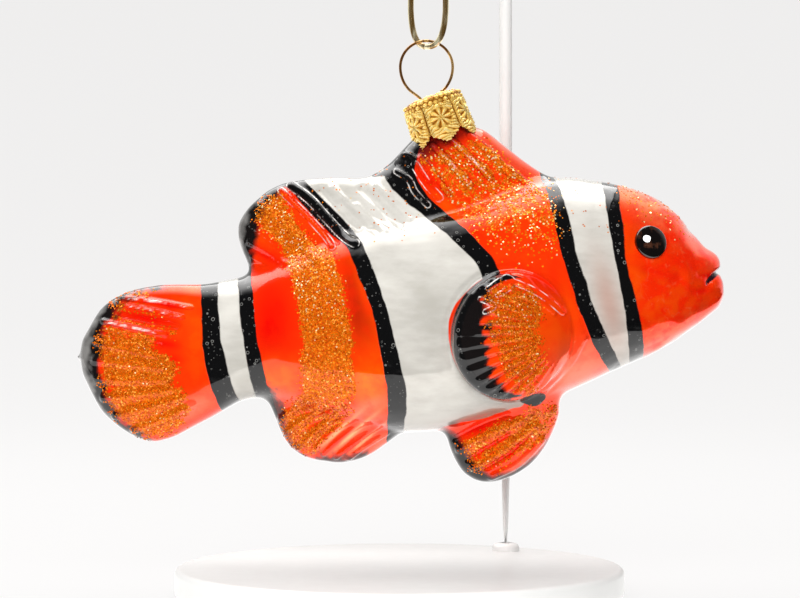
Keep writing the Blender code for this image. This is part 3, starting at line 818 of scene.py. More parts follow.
def blob(x, z, at, size, lean=0.0):
    """1 in the middle of a soft oval spot and 0 well outside it; lean is in degrees."""
    turn = math.radians(lean)
    along = (x - at[0]) * math.cos(turn) + (z - at[1]) * math.sin(turn)
    across = (z - at[1]) * math.cos(turn) - (x - at[0]) * math.sin(turn)
    return np.exp(-((along / size[0]) ** 2) - (across / size[1]) ** 2)


TINTS = (
    # the tail
    # the deep reds in the hollows between the rays, here and further down, are painted shade
    (DEEP_RED, (-40.6, -0.8), (4.4, 0.8), -12, 1.0),
    (DEEP_RED, (-45.0, -3.1), (5.6, 0.8), -10, 1.0),
    (DEEP_RED, (-50.6, -6.6), (3.2, 0.9), -8, 1.0),
    (DEEP_RED, (-41.4, -7.6), (3.8, 1.0), -6, 0.9),
    (DEEP_RED, (-42.0, -10.4), (4.4, 1.0), 4, 0.9),
    (DEEP_RED, (-45.6, -20.4), (3.4, 0.7), 22, 0.9),
    (BRIGHT_ORANGE, (-36.6, -5.0), (2.2, 9.0), 6, 0.9),
    # the salmon spots here and further down are painted reflections of the table and the softbox
    (PAINTED_REFLECTION_SALMON, (-38.0, -19.6), (6.0, 1.6), 30, 0.7),
    # the back half of the body and the rear dorsal lobe
    (DEEP_RED, (-22.8, -3.4), (4.4, 8.0), 0, 1.0),
    (DEEP_RED, (-24.0, 8.2), (3.4, 1.0), -30, 0.9),
    (BRIGHT_ORANGE, (-24.6, 10.6), (2.4, 1.0), -30, 0.6),
    (BRIGHT_ORANGE, (-15.6, 14.2), (6.6, 0.8), -44, 0.9),
    (DEEP_RED, (-14.0, 13.4), (7.0, 0.7), -43, 0.7),
    (BRIGHT_ORANGE, (-6.4, 0.6), (1.1, 9.0), 15, 0.7),
    # painted shade: darker red-brown beside the black line behind the saddle
    (PAINTED_SHADE_RUSSET, (-8.2, -0.4), (1.5, 7.6), 9, 0.85),
    (PAINTED_SHADE_RUSSET, (-6.0, -3.2), (1.2, 4.6), 14, 0.5),
    (AMBER, (-5.6, -14.0), (2.8, 5.0), 4, 1.0),
    (AMBER, (-21.6, -13.6), (3.6, 3.4), 0, 0.7),
    (BRIGHT_ORANGE, (-20.8, -15.4), (2.0, 1.0), 0, 0.6),
    (PAINTED_REFLECTION_SALMON, (-6.0, -18.4), (4.0, 1.2), 20, 0.6),
    # the front dorsal fin and the shoulder
    (DEEP_RED, (4.8, 20.6), (3.6, 1.1), -50, 1.0),
    (BRIGHT_ORANGE, (9.0, 15.6), (5.6, 1.2), -45, 1.0),
    (DEEP_RED, (12.4, 12.6), (3.0, 0.9), -48, 0.7),
    (DEEP_RED, (12.0, 24.2), (5.0, 0.8), -46, 0.8),
    # painted shade under the cap's petals
    (PAINTED_SHADE_MAROON, (3.2, 26.8), (2.8, 2.2), -20, 1.0),
    (PAINTED_SHADE_MAROON, (6.2, 28.0), (3.0, 1.5), 15, 1.0),
    (PAINTED_SHADE_MAROON, (9.6, 29.4), (3.0, 1.2), 15, 1.0),
    (PAINTED_SHADE_MAROON, (12.6, 30.6), (2.4, 1.0), 10, 0.9),
    (PAINTED_REFLECTION_SALMON, (17.6, 28.6), (9.0, 1.8), -42, 1.0),
    # round the pectoral fin
    (DEEP_RED, (23.6, 3.4), (4.4, 1.3), -30, 1.0),
    (DEEP_RED, (27.2, 3.4), (1.6, 4.0), 18, 0.8),
    (AMBER, (20.6, -6.0), (5.0, 7.4), 0, 0.8),
    (BRIGHT_ORANGE, (27.4, -6.4), (2.6, 6.6), 10, 0.7),
    (DEEP_RED, (20.4, -3.2), (3.4, 0.5), -4, 0.7),
    (DEEP_RED, (20.4, -8.0), (3.4, 0.5), 12, 0.7),
    (BRIGHT_ORANGE, (29.6, -3.0), (1.2, 8.0), 16, 0.7),
    (PAINTED_REFLECTION_SALMON, (31.0, -12.4), (6.0, 4.0), 26, 1.0),
    # the head
    # painted highlight: the softbox's glare on top of the head
    (PAINTED_HIGHLIGHT_PEACH, (42.6, 19.0), (8.0, 3.2), -28, 0.85),
    (PAINTED_REFLECTION_SALMON, (51.0, 11.2), (5.4, 1.8), -48, 0.7),
    (BRIGHT_ORANGE, (40.4, 5.0), (1.8, 7.0), 8, 0.8),
    (BRIGHT_ORANGE, (45.6, -0.4), (6.0, 4.4), 0, 0.6),
    (DEEP_RED, (44.6, 5.0), (4.6, 0.8), -16, 0.7),
    (DEEP_RED, (48.6, 6.8), (2.4, 1.0), -40, 0.6),
    # painted shade: deep red in the crease under the nose and in the dimple behind the mouth
    (DEEP_RED, (53.8, 4.5), (2.0, 0.5), 8, 1.0),
    (DEEP_RED, (52.6, 1.7), (1.8, 0.6), 10, 1.0),
    (DEEP_RED, (42.0, -3.4), (2.4, 0.7), -30, 0.5),
    (PAINTED_REFLECTION_SALMON, (46.0, -7.6), (7.0, 2.4), 28, 0.6),
    # the belly fins
    (DEEP_RED, (14.0, -22.4), (5.0, 0.7), 20, 1.0),
    (DEEP_RED, (15.6, -25.8), (4.0, 0.6), 31, 1.0),
    (DEEP_RED, (19.0, -27.2), (4.4, 0.6), 36, 1.0),
    (PAINTED_REFLECTION_SALMON, (21.6, -29.0), (5.6, 0.9), 38, 0.9),
    (PAINTED_REFLECTION_SALMON, (-6.6, -22.2), (4.0, 1.6), 36, 0.45),
    (PAINTED_REFLECTION_SALMON, (-3.4, -25.0), (4.6, 1.4), 34, 0.8),
    (DEEP_RED, (-10.6, -24.4), (4.6, 0.5), 40, 0.7),
    (DEEP_RED, (-7.6, -24.6), (4.4, 0.45), 40, 0.6),
    # painted highlights: pale lines along the anal fin's rays
    (PAINTED_HIGHLIGHT_PEACH, (-11.2, -23.0), (4.6, 0.36), 42, 1.0),
    (PAINTED_HIGHLIGHT_PEACH, (-8.6, -23.4), (4.8, 0.36), 42, 1.0),
    (PAINTED_HIGHLIGHT_PEACH, (-6.0, -24.2), (4.2, 0.32), 40, 0.8),
)
print(len(TINTS), "soft spots of another tint")

# %% Painted light on the pearl, or painted shade where it is below 0, and where it blushes: amount, place, size, lean
PAINTED_LIGHT_ON_PEARL = (
    (0.30, (1.0, 13.0), (9.0, 4.6), -30),
    (0.40, (5.0, -21.5), (7.0, 2.6), 0),
    (0.30, (-30.2, 0.6), (2.4, 5.0), 0),
    (0.26, (31.4, 18.0), (4.0, 5.0), 0),
    (-0.26, (4.6, -0.4), (3.4, 6.0), 14),
    (-0.22, (-27.6, -14.0), (2.6, 5.0), 0),
)
BLUSHES = (
    (0.7, (36.0, -0.6), (2.2, 8.0), 14),
    (1.0, (15.0, -20.6), (9.0, 1.5), 16),
)

# %% Helpers that keep the plan


def keep(mesh, name, values, kind="FLOAT"):
    """Stores one value, or one colour, on every point."""
    layer = mesh.attributes.new(name, kind, "POINT")
    key = "color" if kind == "FLOAT_COLOR" else "value"
    layer.data.foreach_set(key, np.ascontiguousarray(values, np.float32).ravel())


def tinted(colour, tint, share):
    """Colours with a tint laid over them, as thick as its share says."""
    share = share[:, None]
    return colour * (1 - share) + np.array(tint) * share


def sum_of_spots(x, z, table):
    return sum(amount * blob(x, z, *spot) for amount, *spot in table)


def percent(values):
    """The mean of the skin's values from 0 to 1, in percent."""
    return round(100 * float(values.mean()))


# %% The lacquer's colour
MOTTLED_LEAST = 0.35  # the body's share of mottling; the face has more
points, x_mm, z_mm = side_view(skin.data)
reach = pectoral_reach(x_mm, z_mm)
colour = np.tile(np.array(ORANGE), (len(x_mm), 1))
for tint, at, size, lean, strength in TINTS:
    colour = tinted(colour, tint, strength * blob(x_mm, z_mm, at, size, lean))
rib = np.cos(2 * np.pi * fan_phase(x_mm, z_mm))
red_between_ribs = 0.30 * (0.5 - 0.5 * rib) * ease(0.95, 0.8, reach) * ease(27.0, 23.0, x_mm)
colour = tinted(colour, DEEP_RED, red_between_ribs)  # deeper red between the fan's ribs, painted shade in their hollows
keep(skin.data, "lacquer", np.c_[colour, np.ones(len(x_mm))], "FLOAT_COLOR")
keep(skin.data, "mottled", MOTTLED_LEAST + 0.5 * ease(39.0, 44.0, x_mm))
print("mean lacquer:", colour.mean(axis=0).round(3))

# %% Black, white and thinned black
ragged = 1.3 * uneven(points, 2.4, 1.0) + 1.0 * uneven(points, 1.0, 2.0)
fan_rim = (reach - 0.985) * 11  # roughly the millimetres from the pectoral fin's rim
fan_edge = x_mm - 14.6 - 0.28 * np.clip(-8.0 - z_mm, 0, 9) ** 1.3
fan_black = np.maximum(fan_edge + 0.55 * rib + 1.5 * ragged, fan_rim)
fan_line = np.abs(fan_rim + 0.9) - 0.9 * ease(22.0, 15.0, x_mm) + 9.0 * ease(21.0, 23.0, x_mm)
black = np.minimum.reduce([stroke(x_mm, z_mm, line) for line in BLACK_LINES] + [fan_line])
keep(skin.data, "black_edge", black)
white = np.minimum.reduce([patch(x_mm, z_mm, shape) for shape in (SADDLE, HEAD_BAND, STALK_BAND)])
white = np.maximum(white, 0.6 * blob(x_mm, z_mm, (8.6, -2.6), (3.0, 6.6), 14) - fan_rim)
keep(skin.data, "white_edge", white)
smoke = ease(0.8, -0.8, fan_black)
smoke_edge = np.where(smoke > 0, -0.5, 3.0)
for line, dark, torn in SMOKE_RIMS:
    away = stroke(x_mm, z_mm, line) + torn * ragged
    smoke = np.maximum(smoke, dark * ease(0.9, -0.8, away))
    smoke_edge = np.minimum(smoke_edge, away)
keep(skin.data, "smoke", smoke)
keep(skin.data, "smoke_edge", smoke_edge)
keep(skin.data, "blush", np.clip(sum_of_spots(x_mm, z_mm, BLUSHES), 0, 1))
# the pearl's painted light, and painted shade where it is below 0
keep(skin.data, "bright", sum_of_spots(x_mm, z_mm, PAINTED_LIGHT_ON_PEARL))
print("inside a black line:", percent(black < 0), "%, inside a white patch:", percent(white < 0), "%")

# %% How thick the glitter lies
OFF_RIMS = (0.25, 0.55)  # the painter keeps glitter off the rims, where the skin turns away from the side
OFF_TAIL_RIM = (0.05, 0.35)
facing = np.abs(normals(skin.data)[:, 1])
bed = np.zeros(len(x_mm))
for part, (outline, lean, thin, torn) in GLITTER.items():
    streaky = uneven(points, 0.8, 3.0, lean)
    distance = patch(x_mm, z_mm, outline) + torn * ragged + (0.5 + torn) * streaky
    on_flank = ease(*(OFF_TAIL_RIM if part == "tail" else OFF_RIMS), facing)
    on_rays = np.clip(1.0 - thin + thin * (1.2 * streaky + 2.2 * height), 0.05, 1)
    amount = on_flank * ease(0.7, -0.9, distance) * on_rays
    if part == "tail":  # its uppermost rays, and the hollow between them, were wiped clean
        for line, half_width, _ in TAIL_RAYS[:4]:
            amount *= ease(0.1, 0.7, stroke(x_mm, z_mm, of_width(line, half_width)))
    if part == "front":
        amount *= 0.05 + 0.95 * ease(5.0, 16.0, z_mm)
        amount = np.maximum(amount, 0.16 * blob(x_mm, z_mm, (43.0, 17.0), (5.4, 2.2), -30))
    if part == "pectoral":
        amount *= 0.78 + 0.22 * rib
    keep(skin.data, "glitter_" + part, amount)
    bed = np.maximum(bed, amount * (0.8 if part == "front" else 1.0))
stray = ease(9.0, 14.0, z_mm) * (ease(-20, -16, x_mm) * ease(9.0, 4.0, x_mm) + ease(24, 26, x_mm))
on_head = 5.0 * blob(x_mm, z_mm, (43.4, 16.6), (5.6, 2.6), -30)
stray += on_head + 4.0 * blob(x_mm, z_mm, (26.4, 18.6), (2.0, 4.0))
keep(skin.data, "glitter_stray", stray)
keep(skin.data, "glitter_bed", bed)
print("glitter on", percent(bed), "%")

# %% Edges of the rays, painted highlights and the mouth
ray_edge = np.full(len(x_mm), 3.0)
for line, half_width, _ in REAR_RAYS[:3] + FRONT_RAYS + TAIL_RAYS[:4]:
    away = stroke(x_mm, z_mm, of_width(line, 0.0)) - half_width * 0.6
    ray_edge = np.minimum(ray_edge, away)
keep(skin.data, "ray_edge", ray_edge + 3.0 * (1 - side_on))
# painted highlights: lines round some rays and streaks along others
painted_glint = np.minimum.reduce([stroke(x_mm, z_mm, painted_glint_round(ray)) for ray in PAINTED_GLINT_ROUND])
keep(skin.data, "bare_edge", painted_glint)
painted_glint = np.minimum.reduce([stroke(x_mm, z_mm, painted_glint_crest(ray)) for ray in PAINTED_GLINT_CRESTS])
keep(skin.data, "bare_stroke", painted_glint)
mouth = stroke(x_mm, z_mm, ((53.8, 3.1, 0.5), (55.2, 4.5, 1.0), (57.6, 6.3, 1.1)))
keep(skin.data, "mouth_edge", mouth)
print("painted", len(x_mm), "points")

# %% [markdown]
# ## Shared shader groups
# Some effects come back in several finishes, so each is a node group with named inputs: the edge that a
# brush leaves, the streaks and clouds in a coat of lacquer, which also give the wires and the eyes their
# painted reflections, the tiny grains between the big flakes of glitter, and the bubbles that froth up in
# thick black paint.

# %% Groups


def group(name, inputs, outputs):
    """An empty node group whose inputs and outputs are all numbers."""
    tree = bpy.data.node_groups.new(name, "ShaderNodeTree")
    for label, value in inputs.items():
        tree.interface.new_socket(label, in_out="INPUT", socket_type="NodeSocketFloat").default_value = value
    for label in outputs:
        tree.interface.new_socket(label, in_out="OUTPUT", socket_type="NodeSocketFloat")
    return tree, node(tree, "NodeGroupInput").outputs, node(tree, "NodeGroupOutput").inputs


def fill_group(tree, shared, inputs):
    return node(tree, "ShaderNodeGroup", inputs, node_tree=shared).outputs


brush_edge, given, made = group("brush_edge", {"Distance": 0.0, "Wobble": 0.15, "Softness": 0.12}, ["Mask"])
wave = maths(brush_edge, "SUBTRACT", waves(brush_edge, 330.0, 1.0), 0.5)
wander = maths(brush_edge, "MULTIPLY", wave, given["Wobble"])
wander = maths(brush_edge, "MULTIPLY", wander, 4.0)
edge = maths(brush_edge, "ADD", given["Distance"], wander)
within = maths(brush_edge, "MULTIPLY", given["Softness"], -1.0)
brush_edge.links.new(ramp(brush_edge, edge, given["Softness"], within), made["Mask"])

streaks, given, made = group("lacquer_streaks", {"Fineness": 300.0, "Stretch": 3.0}, ["Streaks", "Clouds"])
squeeze = node(streaks, "ShaderNodeCombineXYZ", {"X": 1.0, "Y": 1.0, "Z": given["Stretch"]}).outputs[0]
drawn_out = node(streaks, "ShaderNodeVectorMath", {0: on_piece(streaks), 1: squeeze}, operation="MULTIPLY")
streaks.links.new(waves(streaks, given["Fineness"], 4.0, drawn_out.outputs[0]), made["Streaks"])
streaks.links.new(waves(streaks, 140.0, 2.0), made["Clouds"])

grains, given, made = group("glitter_grains", {"Fineness": 4200.0}, ["Tone", "Sparkle", "Height"])
cells = node(grains, "ShaderNodeTexVoronoi", {"Vector": on_piece(grains), "Scale": given["Fineness"]})
tone = node(grains, "ShaderNodeSeparateXYZ", {0: cells.outputs["Color"]}).outputs
grains.links.new(tone["X"], made["Tone"])
grains.links.new(ramp(grains, tone["Y"], 0.86, 0.90, soft=False), made["Sparkle"])
grains.links.new(tone["Z"], made["Height"])

bubbles, given, made = group("bubbles", {"Fineness": 800.0, "Share": 0.45}, ["Ring", "Height"])
cells = node(bubbles, "ShaderNodeTexVoronoi", {"Vector": on_piece(bubbles), "Scale": given["Fineness"]})
pick = node(bubbles, "ShaderNodeSeparateXYZ", {0: cells.outputs["Color"]}).outputs
chosen = maths(bubbles, "LESS_THAN", pick["X"], given["Share"])
across = maths(bubbles, "DIVIDE", cells.outputs["Distance"], between(bubbles, pick["Y"], 0.14, 0.30))
bulge = ramp(bubbles, across, 1.0, 0.4, soft=False)
bubbles.links.new(maths(bubbles, "MULTIPLY", bulge, chosen), made["Height"])
off = maths(bubbles, "ABSOLUTE", maths(bubbles, "SUBTRACT", across, 0.85))
ring = ramp(bubbles, off, 0.22, 0.05, soft=False)
bubbles.links.new(maths(bubbles, "MULTIPLY", ring, chosen), made["Ring"])
print("groups:", [tree.name for tree in bpy.data.node_groups])

# %% [markdown]
# ## Painted glass
# Clear lacquer over silver is a coloured mirror under a glossy coat, so the shader is partly metallic. The
# pearl white holds more pigment and shines less through. Black is opaque and stands a little proud, which
# a Bump node gives it. Colours are mixed in the order in which the painter laid them, and the thin white
# lines of painted highlight come last. Clear glass over a silver shell would be truer still, but slow and
# noisy to render, and it would look the same. A flat map lays both flanks out on one picture.

# %% Both flanks laid flat on one picture
PICTURE_SIDE = 142.0  # millimetres of fish that the whole picture takes in


def lay_flat(obj):
    """Maps each flank as seen from its side: the right one below, the left one above it."""
    mesh = obj.data
    corners_each = read(mesh.polygons, "loop_total", kind=np.int32)
    left = np.repeat(read(mesh.polygons, "normal", 3)[:, 1] > 0, corners_each)
    spots = (places(mesh)[corner_points(mesh)][:, [0, 2]] - (FISH.x, FISH.z)) / MM / PICTURE_SIDE
    spots[:, 0] = 0.5 + np.where(left, -1, 1) * spots[:, 0]
    spots[:, 1] += np.where(left, 0.75, 0.25)
    save_flat_map(mesh, spots)
    print("flat map from", spots.min(axis=0).round(3), "to", spots.max(axis=0).round(3))


# %% The glass skin's material
PEARL = (0.54, 0.52, 0.48, 1)
PEARL_SHADE = (0.36, 0.345, 0.31, 1)
MAUVE = (0.40, 0.22, 0.17, 1)
BLACK = (0.002, 0.002, 0.0022, 1)
SPECK = (0.30, 0.30, 0.28, 1)  # a bubble's rim in the black
SMOKE = (0.13, 0.125, 0.12, 1)
SMOKE_DEEP = (0.004, 0.003, 0.003, 1)
MOTTLE_RED = (1.0, 0.018, 0.0005, 1)
# painted sheen: pale pink wrinkles on the face
WRINKLE_SHEEN_PINK = (1.0, 0.19, 0.06, 1)
COPPER = (0.86, 0.16, 0.002, 1)
RUST = (0.50, 0.040, 0.0, 1)
SPARK = (1.0, 0.42, 0.06, 1)
# painted highlight: thin white lines where the rays' edges would catch the light
PAINTED_GLINT_WHITE = (0.95, 0.90, 0.86, 1)
MOUTH = (0.035, 0.006, 0.014, 1)

glass, tree, shader = new_material(
    "painted_glass", Coat_Weight=1.0, Coat_Roughness=0.02, Coat_IOR=1.5, Specular_IOR_Level=0.1
)
brush = fill_group(tree, streaks, {"Fineness": 260.0, "Stretch": 2.5})
lacquer = attribute(tree, "lacquer", "Color")
deeper = mixed(tree, ramp(tree, waves(tree, 330.0, 4.0), 0.42, 0.62), lacquer, MOTTLE_RED)
paint = mixed(tree, attribute(tree, "mottled"), lacquer, deeper)
# pale pink wrinkles on the face, a painted sheen
wrinkle_sheen = ramp(tree, waves(tree, 520.0, 3.0, distortion=1.6), 0.55, 0.72, top=0.55)
wrinkle_sheen = maths(tree, "MULTIPLY", wrinkle_sheen, maths(tree, "SUBTRACT", attribute(tree, "mottled"), MOTTLED_LEAST))
paint = mixed(tree, wrinkle_sheen, paint, WRINKLE_SHEEN_PINK)

# brush streaks thicken the pearl, and its painted light and shade brighten or dull it
thickness = maths(tree, "ADD", maths(tree, "MULTIPLY", brush["Streaks"], 0.55), attribute(tree, "bright"))
pearl = mixed(tree, ramp(tree, thickness, -0.08, 0.64), PEARL_SHADE, PEARL)
pearl = mixed(tree, attribute(tree, "blush"), pearl, MAUVE)
white_mask = fill_group(tree, brush_edge, {"Distance": attribute(tree, "white_edge"), "Wobble": 0.10})["Mask"]
paint = mixed(tree, white_mask, paint, pearl)

grain = fill_group(tree, grains, {"Fineness": 4200.0})
flecks = mixed(tree, grain["Tone"], RUST, COPPER)
flecks = mixed(tree, grain["Sparkle"], flecks, SPARK)
torn = maths(tree, "SUBTRACT", waves(tree, 900.0, 3.0), 0.5)
bed_mask = ramp(tree, maths(tree, "ADD", attribute(tree, "glitter_bed"), torn), 0.35, 0.75)
paint = mixed(tree, bed_mask, paint, flecks)

smoke_share = attribute(tree, "smoke")
inner = ramp(tree, attribute(tree, "smoke_edge"), -3.6, -1.5)
inner = maths(tree, "MULTIPLY", inner, between(tree, brush["Clouds"], 0.7, 1.5))
thin = mixed(tree, inner, SMOKE, SMOKE_DEEP)
paint = mixed(tree, smoke_share, paint, thin)

black_mask = fill_group(tree, brush_edge, {"Distance": attribute(tree, "black_edge"), "Wobble": 0.14})["Mask"]
mouth_mask = fill_group(tree, brush_edge, {"Distance": attribute(tree, "mouth_edge"), "Wobble": 0.05})["Mask"]
paint = mixed(tree, mouth_mask, paint, MOUTH)
froth = fill_group(tree, bubbles, {"Fineness": 820.0, "Share": 0.5})
fine = fill_group(tree, bubbles, {"Fineness": 1900.0, "Share": 0.3})
large = maths(tree, "MULTIPLY", froth["Ring"], 0.4)
rings = maths(tree, "MAXIMUM", large, maths(tree, "MULTIPLY", fine["Ring"], 0.3))
paint = mixed(tree, black_mask, paint, mixed(tree, rings, BLACK, SPECK))

# thin white lines of painted highlight on the rays, broken here and there
on_edge = maths(tree, "ABSOLUTE", attribute(tree, "bare_edge"))
on_edge = ramp(tree, on_edge, 0.14, 0.03, soft=False)
on_stroke = ramp(tree, attribute(tree, "bare_stroke"), 0.08, -0.12, soft=False)
broken = ramp(tree, waves(tree, 560.0, 2.0), 0.40, 0.62, top=0.85, soft=False)
painted_glint_mask = maths(tree, "MULTIPLY", maths(tree, "MAXIMUM", on_edge, on_stroke), broken)
paint = mixed(tree, painted_glint_mask, paint, PAINTED_GLINT_WHITE)
tree.links.new(paint, shader.inputs["Base Color"])

opaque = maths(tree, "MAXIMUM", black_mask, smoke_share)
tree.links.new(between(tree, opaque, 0.7, 1.0), shader.inputs["Coat Weight"])
metal = between(tree, white_mask, 0.5, 0.25)
metal = between(tree, black_mask, between(tree, smoke_share, metal, 0.0), 0.0)
tree.links.new(metal, shader.inputs["Metallic"])
rough = between(tree, bed_mask, 0.16, 0.38)
tree.links.new(rough, shader.inputs["Roughness"])

lumps = maths(tree, "MULTIPLY", waves(tree, 480.0, 1.0), 0.22)
thick = maths(tree, "ADD", maths(tree, "MULTIPLY", froth["Height"], 0.05), lumps)
raised = maths(tree, "MULTIPLY", black_mask, thick)
streaky = maths(tree, "MULTIPLY", brush["Streaks"], 0.02)
grainy = maths(tree, "MULTIPLY", maths(tree, "MULTIPLY", grain["Height"], bed_mask), 0.09)
rays = ramp(tree, attribute(tree, "ray_edge"), 0.22, -0.22, top=0.36)
surface = maths(tree, "ADD", maths(tree, "ADD", raised, streaky), maths(tree, "ADD", grainy, rays))
bump = node(tree, "ShaderNodeBump", {"Height": surface, "Strength": 1.0, "Distance": MM}).outputs["Normal"]
tree.links.new(bump, shader.inputs["Normal"])
skin.data.materials.append(glass)
skin.data.shade_smooth()
lay_flat(skin)
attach(skin, "root")
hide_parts(*GLASS)
print("skin triangles:", triangles(skin))

# %% [markdown]
# ## Glitter
# Glitter is cut film: tiny six-sided flakes that lie nearly flat in the lacquer, each tilted its own way,
# so each mirrors another part of the room. Geometry Nodes scatters real flakes on the skin, as thick as
# the painter's plan says, and realizes them, and each patch becomes one mesh. A fine noise in the shader
# could stand in for glitter from afar, and does for the grains between them, but it has no flakes that
# flash one by one.

# %% The flakes' finish
FLAKE_RADIUS = 0.145
FLAKE_THICK = 0.03
FLAKE_SIDES = 6
FLAKE_POINTS = 2 * FLAKE_SIDES
FLAKE_SIZES = (0.7, 1.25)  # the smallest and the largest, as shares of the radius
# painted shade on most of the flakes low on the fish
FLAKE_PAINTED_SHADE = 0.8  # how bright most flakes are low on the fish

copper, tree, shader = new_material("copper_glitter", Metallic=0.6, Roughness=0.25, Specular_IOR_Level=0.2)
tone = attribute(tree, "tone")
hue = mixed(tree, tone, (0.46, 0.044, 0.0, 1), (0.98, 0.26, 0.006, 1))
hue = mixed(tree, ramp(tree, tone, 0.93, 0.95, soft=False), hue, (1.0, 0.76, 0.40, 1))
tree.links.new(hue, shader.inputs["Base Color"])
print("flakes", 2 * FLAKE_RADIUS, "mm across")

# %% Scatter


def scatter(part, per_mm2, seed, size=1.0, tilt=0.42, lift=0.05, painted_shine=1.0):
    """Flakes on the skin, as thick as the attribute of the same name says."""
    name = "glitter_" + part
    tree = bpy.data.node_groups.new(name, "GeometryNodeTree")
    tree.interface.new_socket("Geometry", in_out="OUTPUT", socket_type="NodeSocketGeometry")
    body = node(tree, "GeometryNodeObjectInfo", {"Object": skin}).outputs["Geometry"]
    share = node(tree, "GeometryNodeInputNamedAttribute", {"Name": name}, data_type="FLOAT").outputs[0]
    density = maths(tree, "MULTIPLY", share, per_mm2 / MM**2)
    dots = node(tree, "GeometryNodeDistributePointsOnFaces", {"Mesh": body, "Density": density, "Seed": seed})
    out = {0: dots.outputs["Normal"], "Scale": lift * MM}
    out = node(tree, "ShaderNodeVectorMath", out, operation="SCALE").outputs[0]
    raised = {"Geometry": dots.outputs["Points"], "Offset": out}
    raised = node(tree, "GeometryNodeSetPosition", raised).outputs[0]
    flake = {"Vertices": FLAKE_SIDES, "Radius": FLAKE_RADIUS * size * MM, "Depth": FLAKE_THICK * MM}
    film = node(tree, "GeometryNodeMeshCylinder", flake).outputs["Mesh"]
    swing = {"Min": (-tilt, -tilt, 0.0), "Max": (tilt, tilt, 2 * math.pi), "Seed": seed + 1}
    lean = node(tree, "FunctionNodeRandomValue", swing, data_type="FLOAT_VECTOR").outputs["Value"]
    lean = node(tree, "FunctionNodeEulerToRotation", {"Euler": lean}).outputs[0]
    turn = {"Rotation": dots.outputs["Rotation"], "Rotate By": lean}
    tilted = node(tree, "FunctionNodeRotateRotation", turn, rotation_space="LOCAL").outputs[0]
    sizes = {2: FLAKE_SIZES[0], 3: FLAKE_SIZES[1], "Seed": seed + 2}
    grow = node(tree, "FunctionNodeRandomValue", sizes, data_type="FLOAT")
    laid = {"Points": raised, "Instance": film, "Rotation": tilted, "Scale": grow.outputs[1]}
    flakes = node(tree, "GeometryNodeInstanceOnPoints", laid).outputs["Instances"]
    real = node(tree, "GeometryNodeRealizeInstances", {"Geometry": flakes}).outputs["Geometry"]
    tree.links.new(real, node(tree, "NodeGroupOutput").inputs["Geometry"])
    obj = as_object(name, bpy.data.meshes.new(name))
    obj.modifiers.new("scatter", "NODES").node_group = tree
    apply_modifiers(obj)
    obj.data.materials.clear()
    obj.data.materials.append(copper)
    count = len(obj.data.vertices) // FLAKE_POINTS
    chance = np.random.default_rng(seed)
    # a larger value gives a patch more bright flakes, as painted light
    tones = chance.random(count) ** (1 / painted_shine)
    flake_z = (places(obj.data)[::FLAKE_POINTS, 2] - FISH.z) / MM
    # flakes low on the fish are darkened, as painted shade
    tones *= np.where(chance.random(count) < 0.85 * ease(3.0, -7.0, flake_z), FLAKE_PAINTED_SHADE, 1.0)
    keep(obj.data, "tone", np.repeat(tones, FLAKE_POINTS))
    flake, point = np.divmod(corner_points(obj.data), FLAKE_POINTS)
    across = math.ceil(math.sqrt(count))  # each flake gets a square of its own on the flat map
    turn = 2 * np.pi * (point % FLAKE_SIDES) / FLAKE_SIDES
    out = np.where(point < FLAKE_SIDES, 0.44, 0.30)
    spots = np.c_[flake % across + 0.5 + out * np.cos(turn), flake // across + 0.5 + out * np.sin(turn)]
    save_flat_map(obj.data, spots / across)
    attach(obj, "root")
    print(name, count, "flakes,", triangles(obj), "triangles")


scatter("tail", 11.0, 11, painted_shine=1.4)
scatter("rear", 11.0, 12, painted_shine=2.0)
scatter("anal", 12.0, 13)
scatter("front", 6.2, 14, size=1.15, painted_shine=3.4)
scatter("pectoral", 16.0, 15, size=0.9)
scatter("pelvic", 11.0, 16)
scatter("stray", 0.20, 17, tilt=0.3, lift=0.0, painted_shine=2.0)

# %% [markdown]
# ## Eyes
# Each eye is a thick drop of black enamel that dried as a dome with a soft foot, with a smaller white drop
# on it. A drop is a turned shape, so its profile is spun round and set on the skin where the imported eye
# sits, leaning as the skin leans there. A flattened ball would be quicker, but it has no soft foot.

# %% A drop of enamel
from mathutils.bvhtree import BVHTree

SKIN_TREE = BVHTree.FromPolygons(
    [tuple(point) for point in places(skin.data)], [tuple(face.vertices) for face in skin.data.polygons]
)
DROP_SIDES = 64
DROP_ROWS = 20
DROP_FOOT = [(1.0, 0.1), (0.98, -0.3)]  # shares of its radius and its rise


def on_skin(x, z, side):
    """A place on one flank and the way out of the skin there."""
    start = FISH + Vector((x * MM, side * 0.1, z * MM))
    place, outward, _, _ = SKIN_TREE.ray_cast(start, Vector((0, -side, 0)))
    return place, outward


def spun(profile, sides, weld):
    """A profile's (radius, height) points spun about an upright axis, and welded where they meet."""
    bm = bmesh.new()
    line = [bm.verts.new((radius, 0, height)) for radius, height in profile]
    for one, other in zip(line, line[1:]):
        bm.edges.new((one, other))
    bmesh.ops.spin(
        bm, geom=bm.verts[:] + bm.edges[:], axis=(0, 0, 1), cent=(0, 0, 0), angle=2 * math.pi,
        steps=sides, use_merge=True, use_duplicate=False,
    )  # fmt: skip
    bmesh.ops.remove_doubles(bm, verts=bm.verts, dist=weld)
    return bm


def dome(reach):
    """A drop's height at a share of its radius, as a share of its rise."""
    return 0.35 + 0.65 * (1 - reach**2)


def level_and_up(outward):
    """Two ways along the skin: one level, the other up."""
    level = Vector((0, 0, 1)).cross(outward).normalized()
    return level, outward.cross(level)


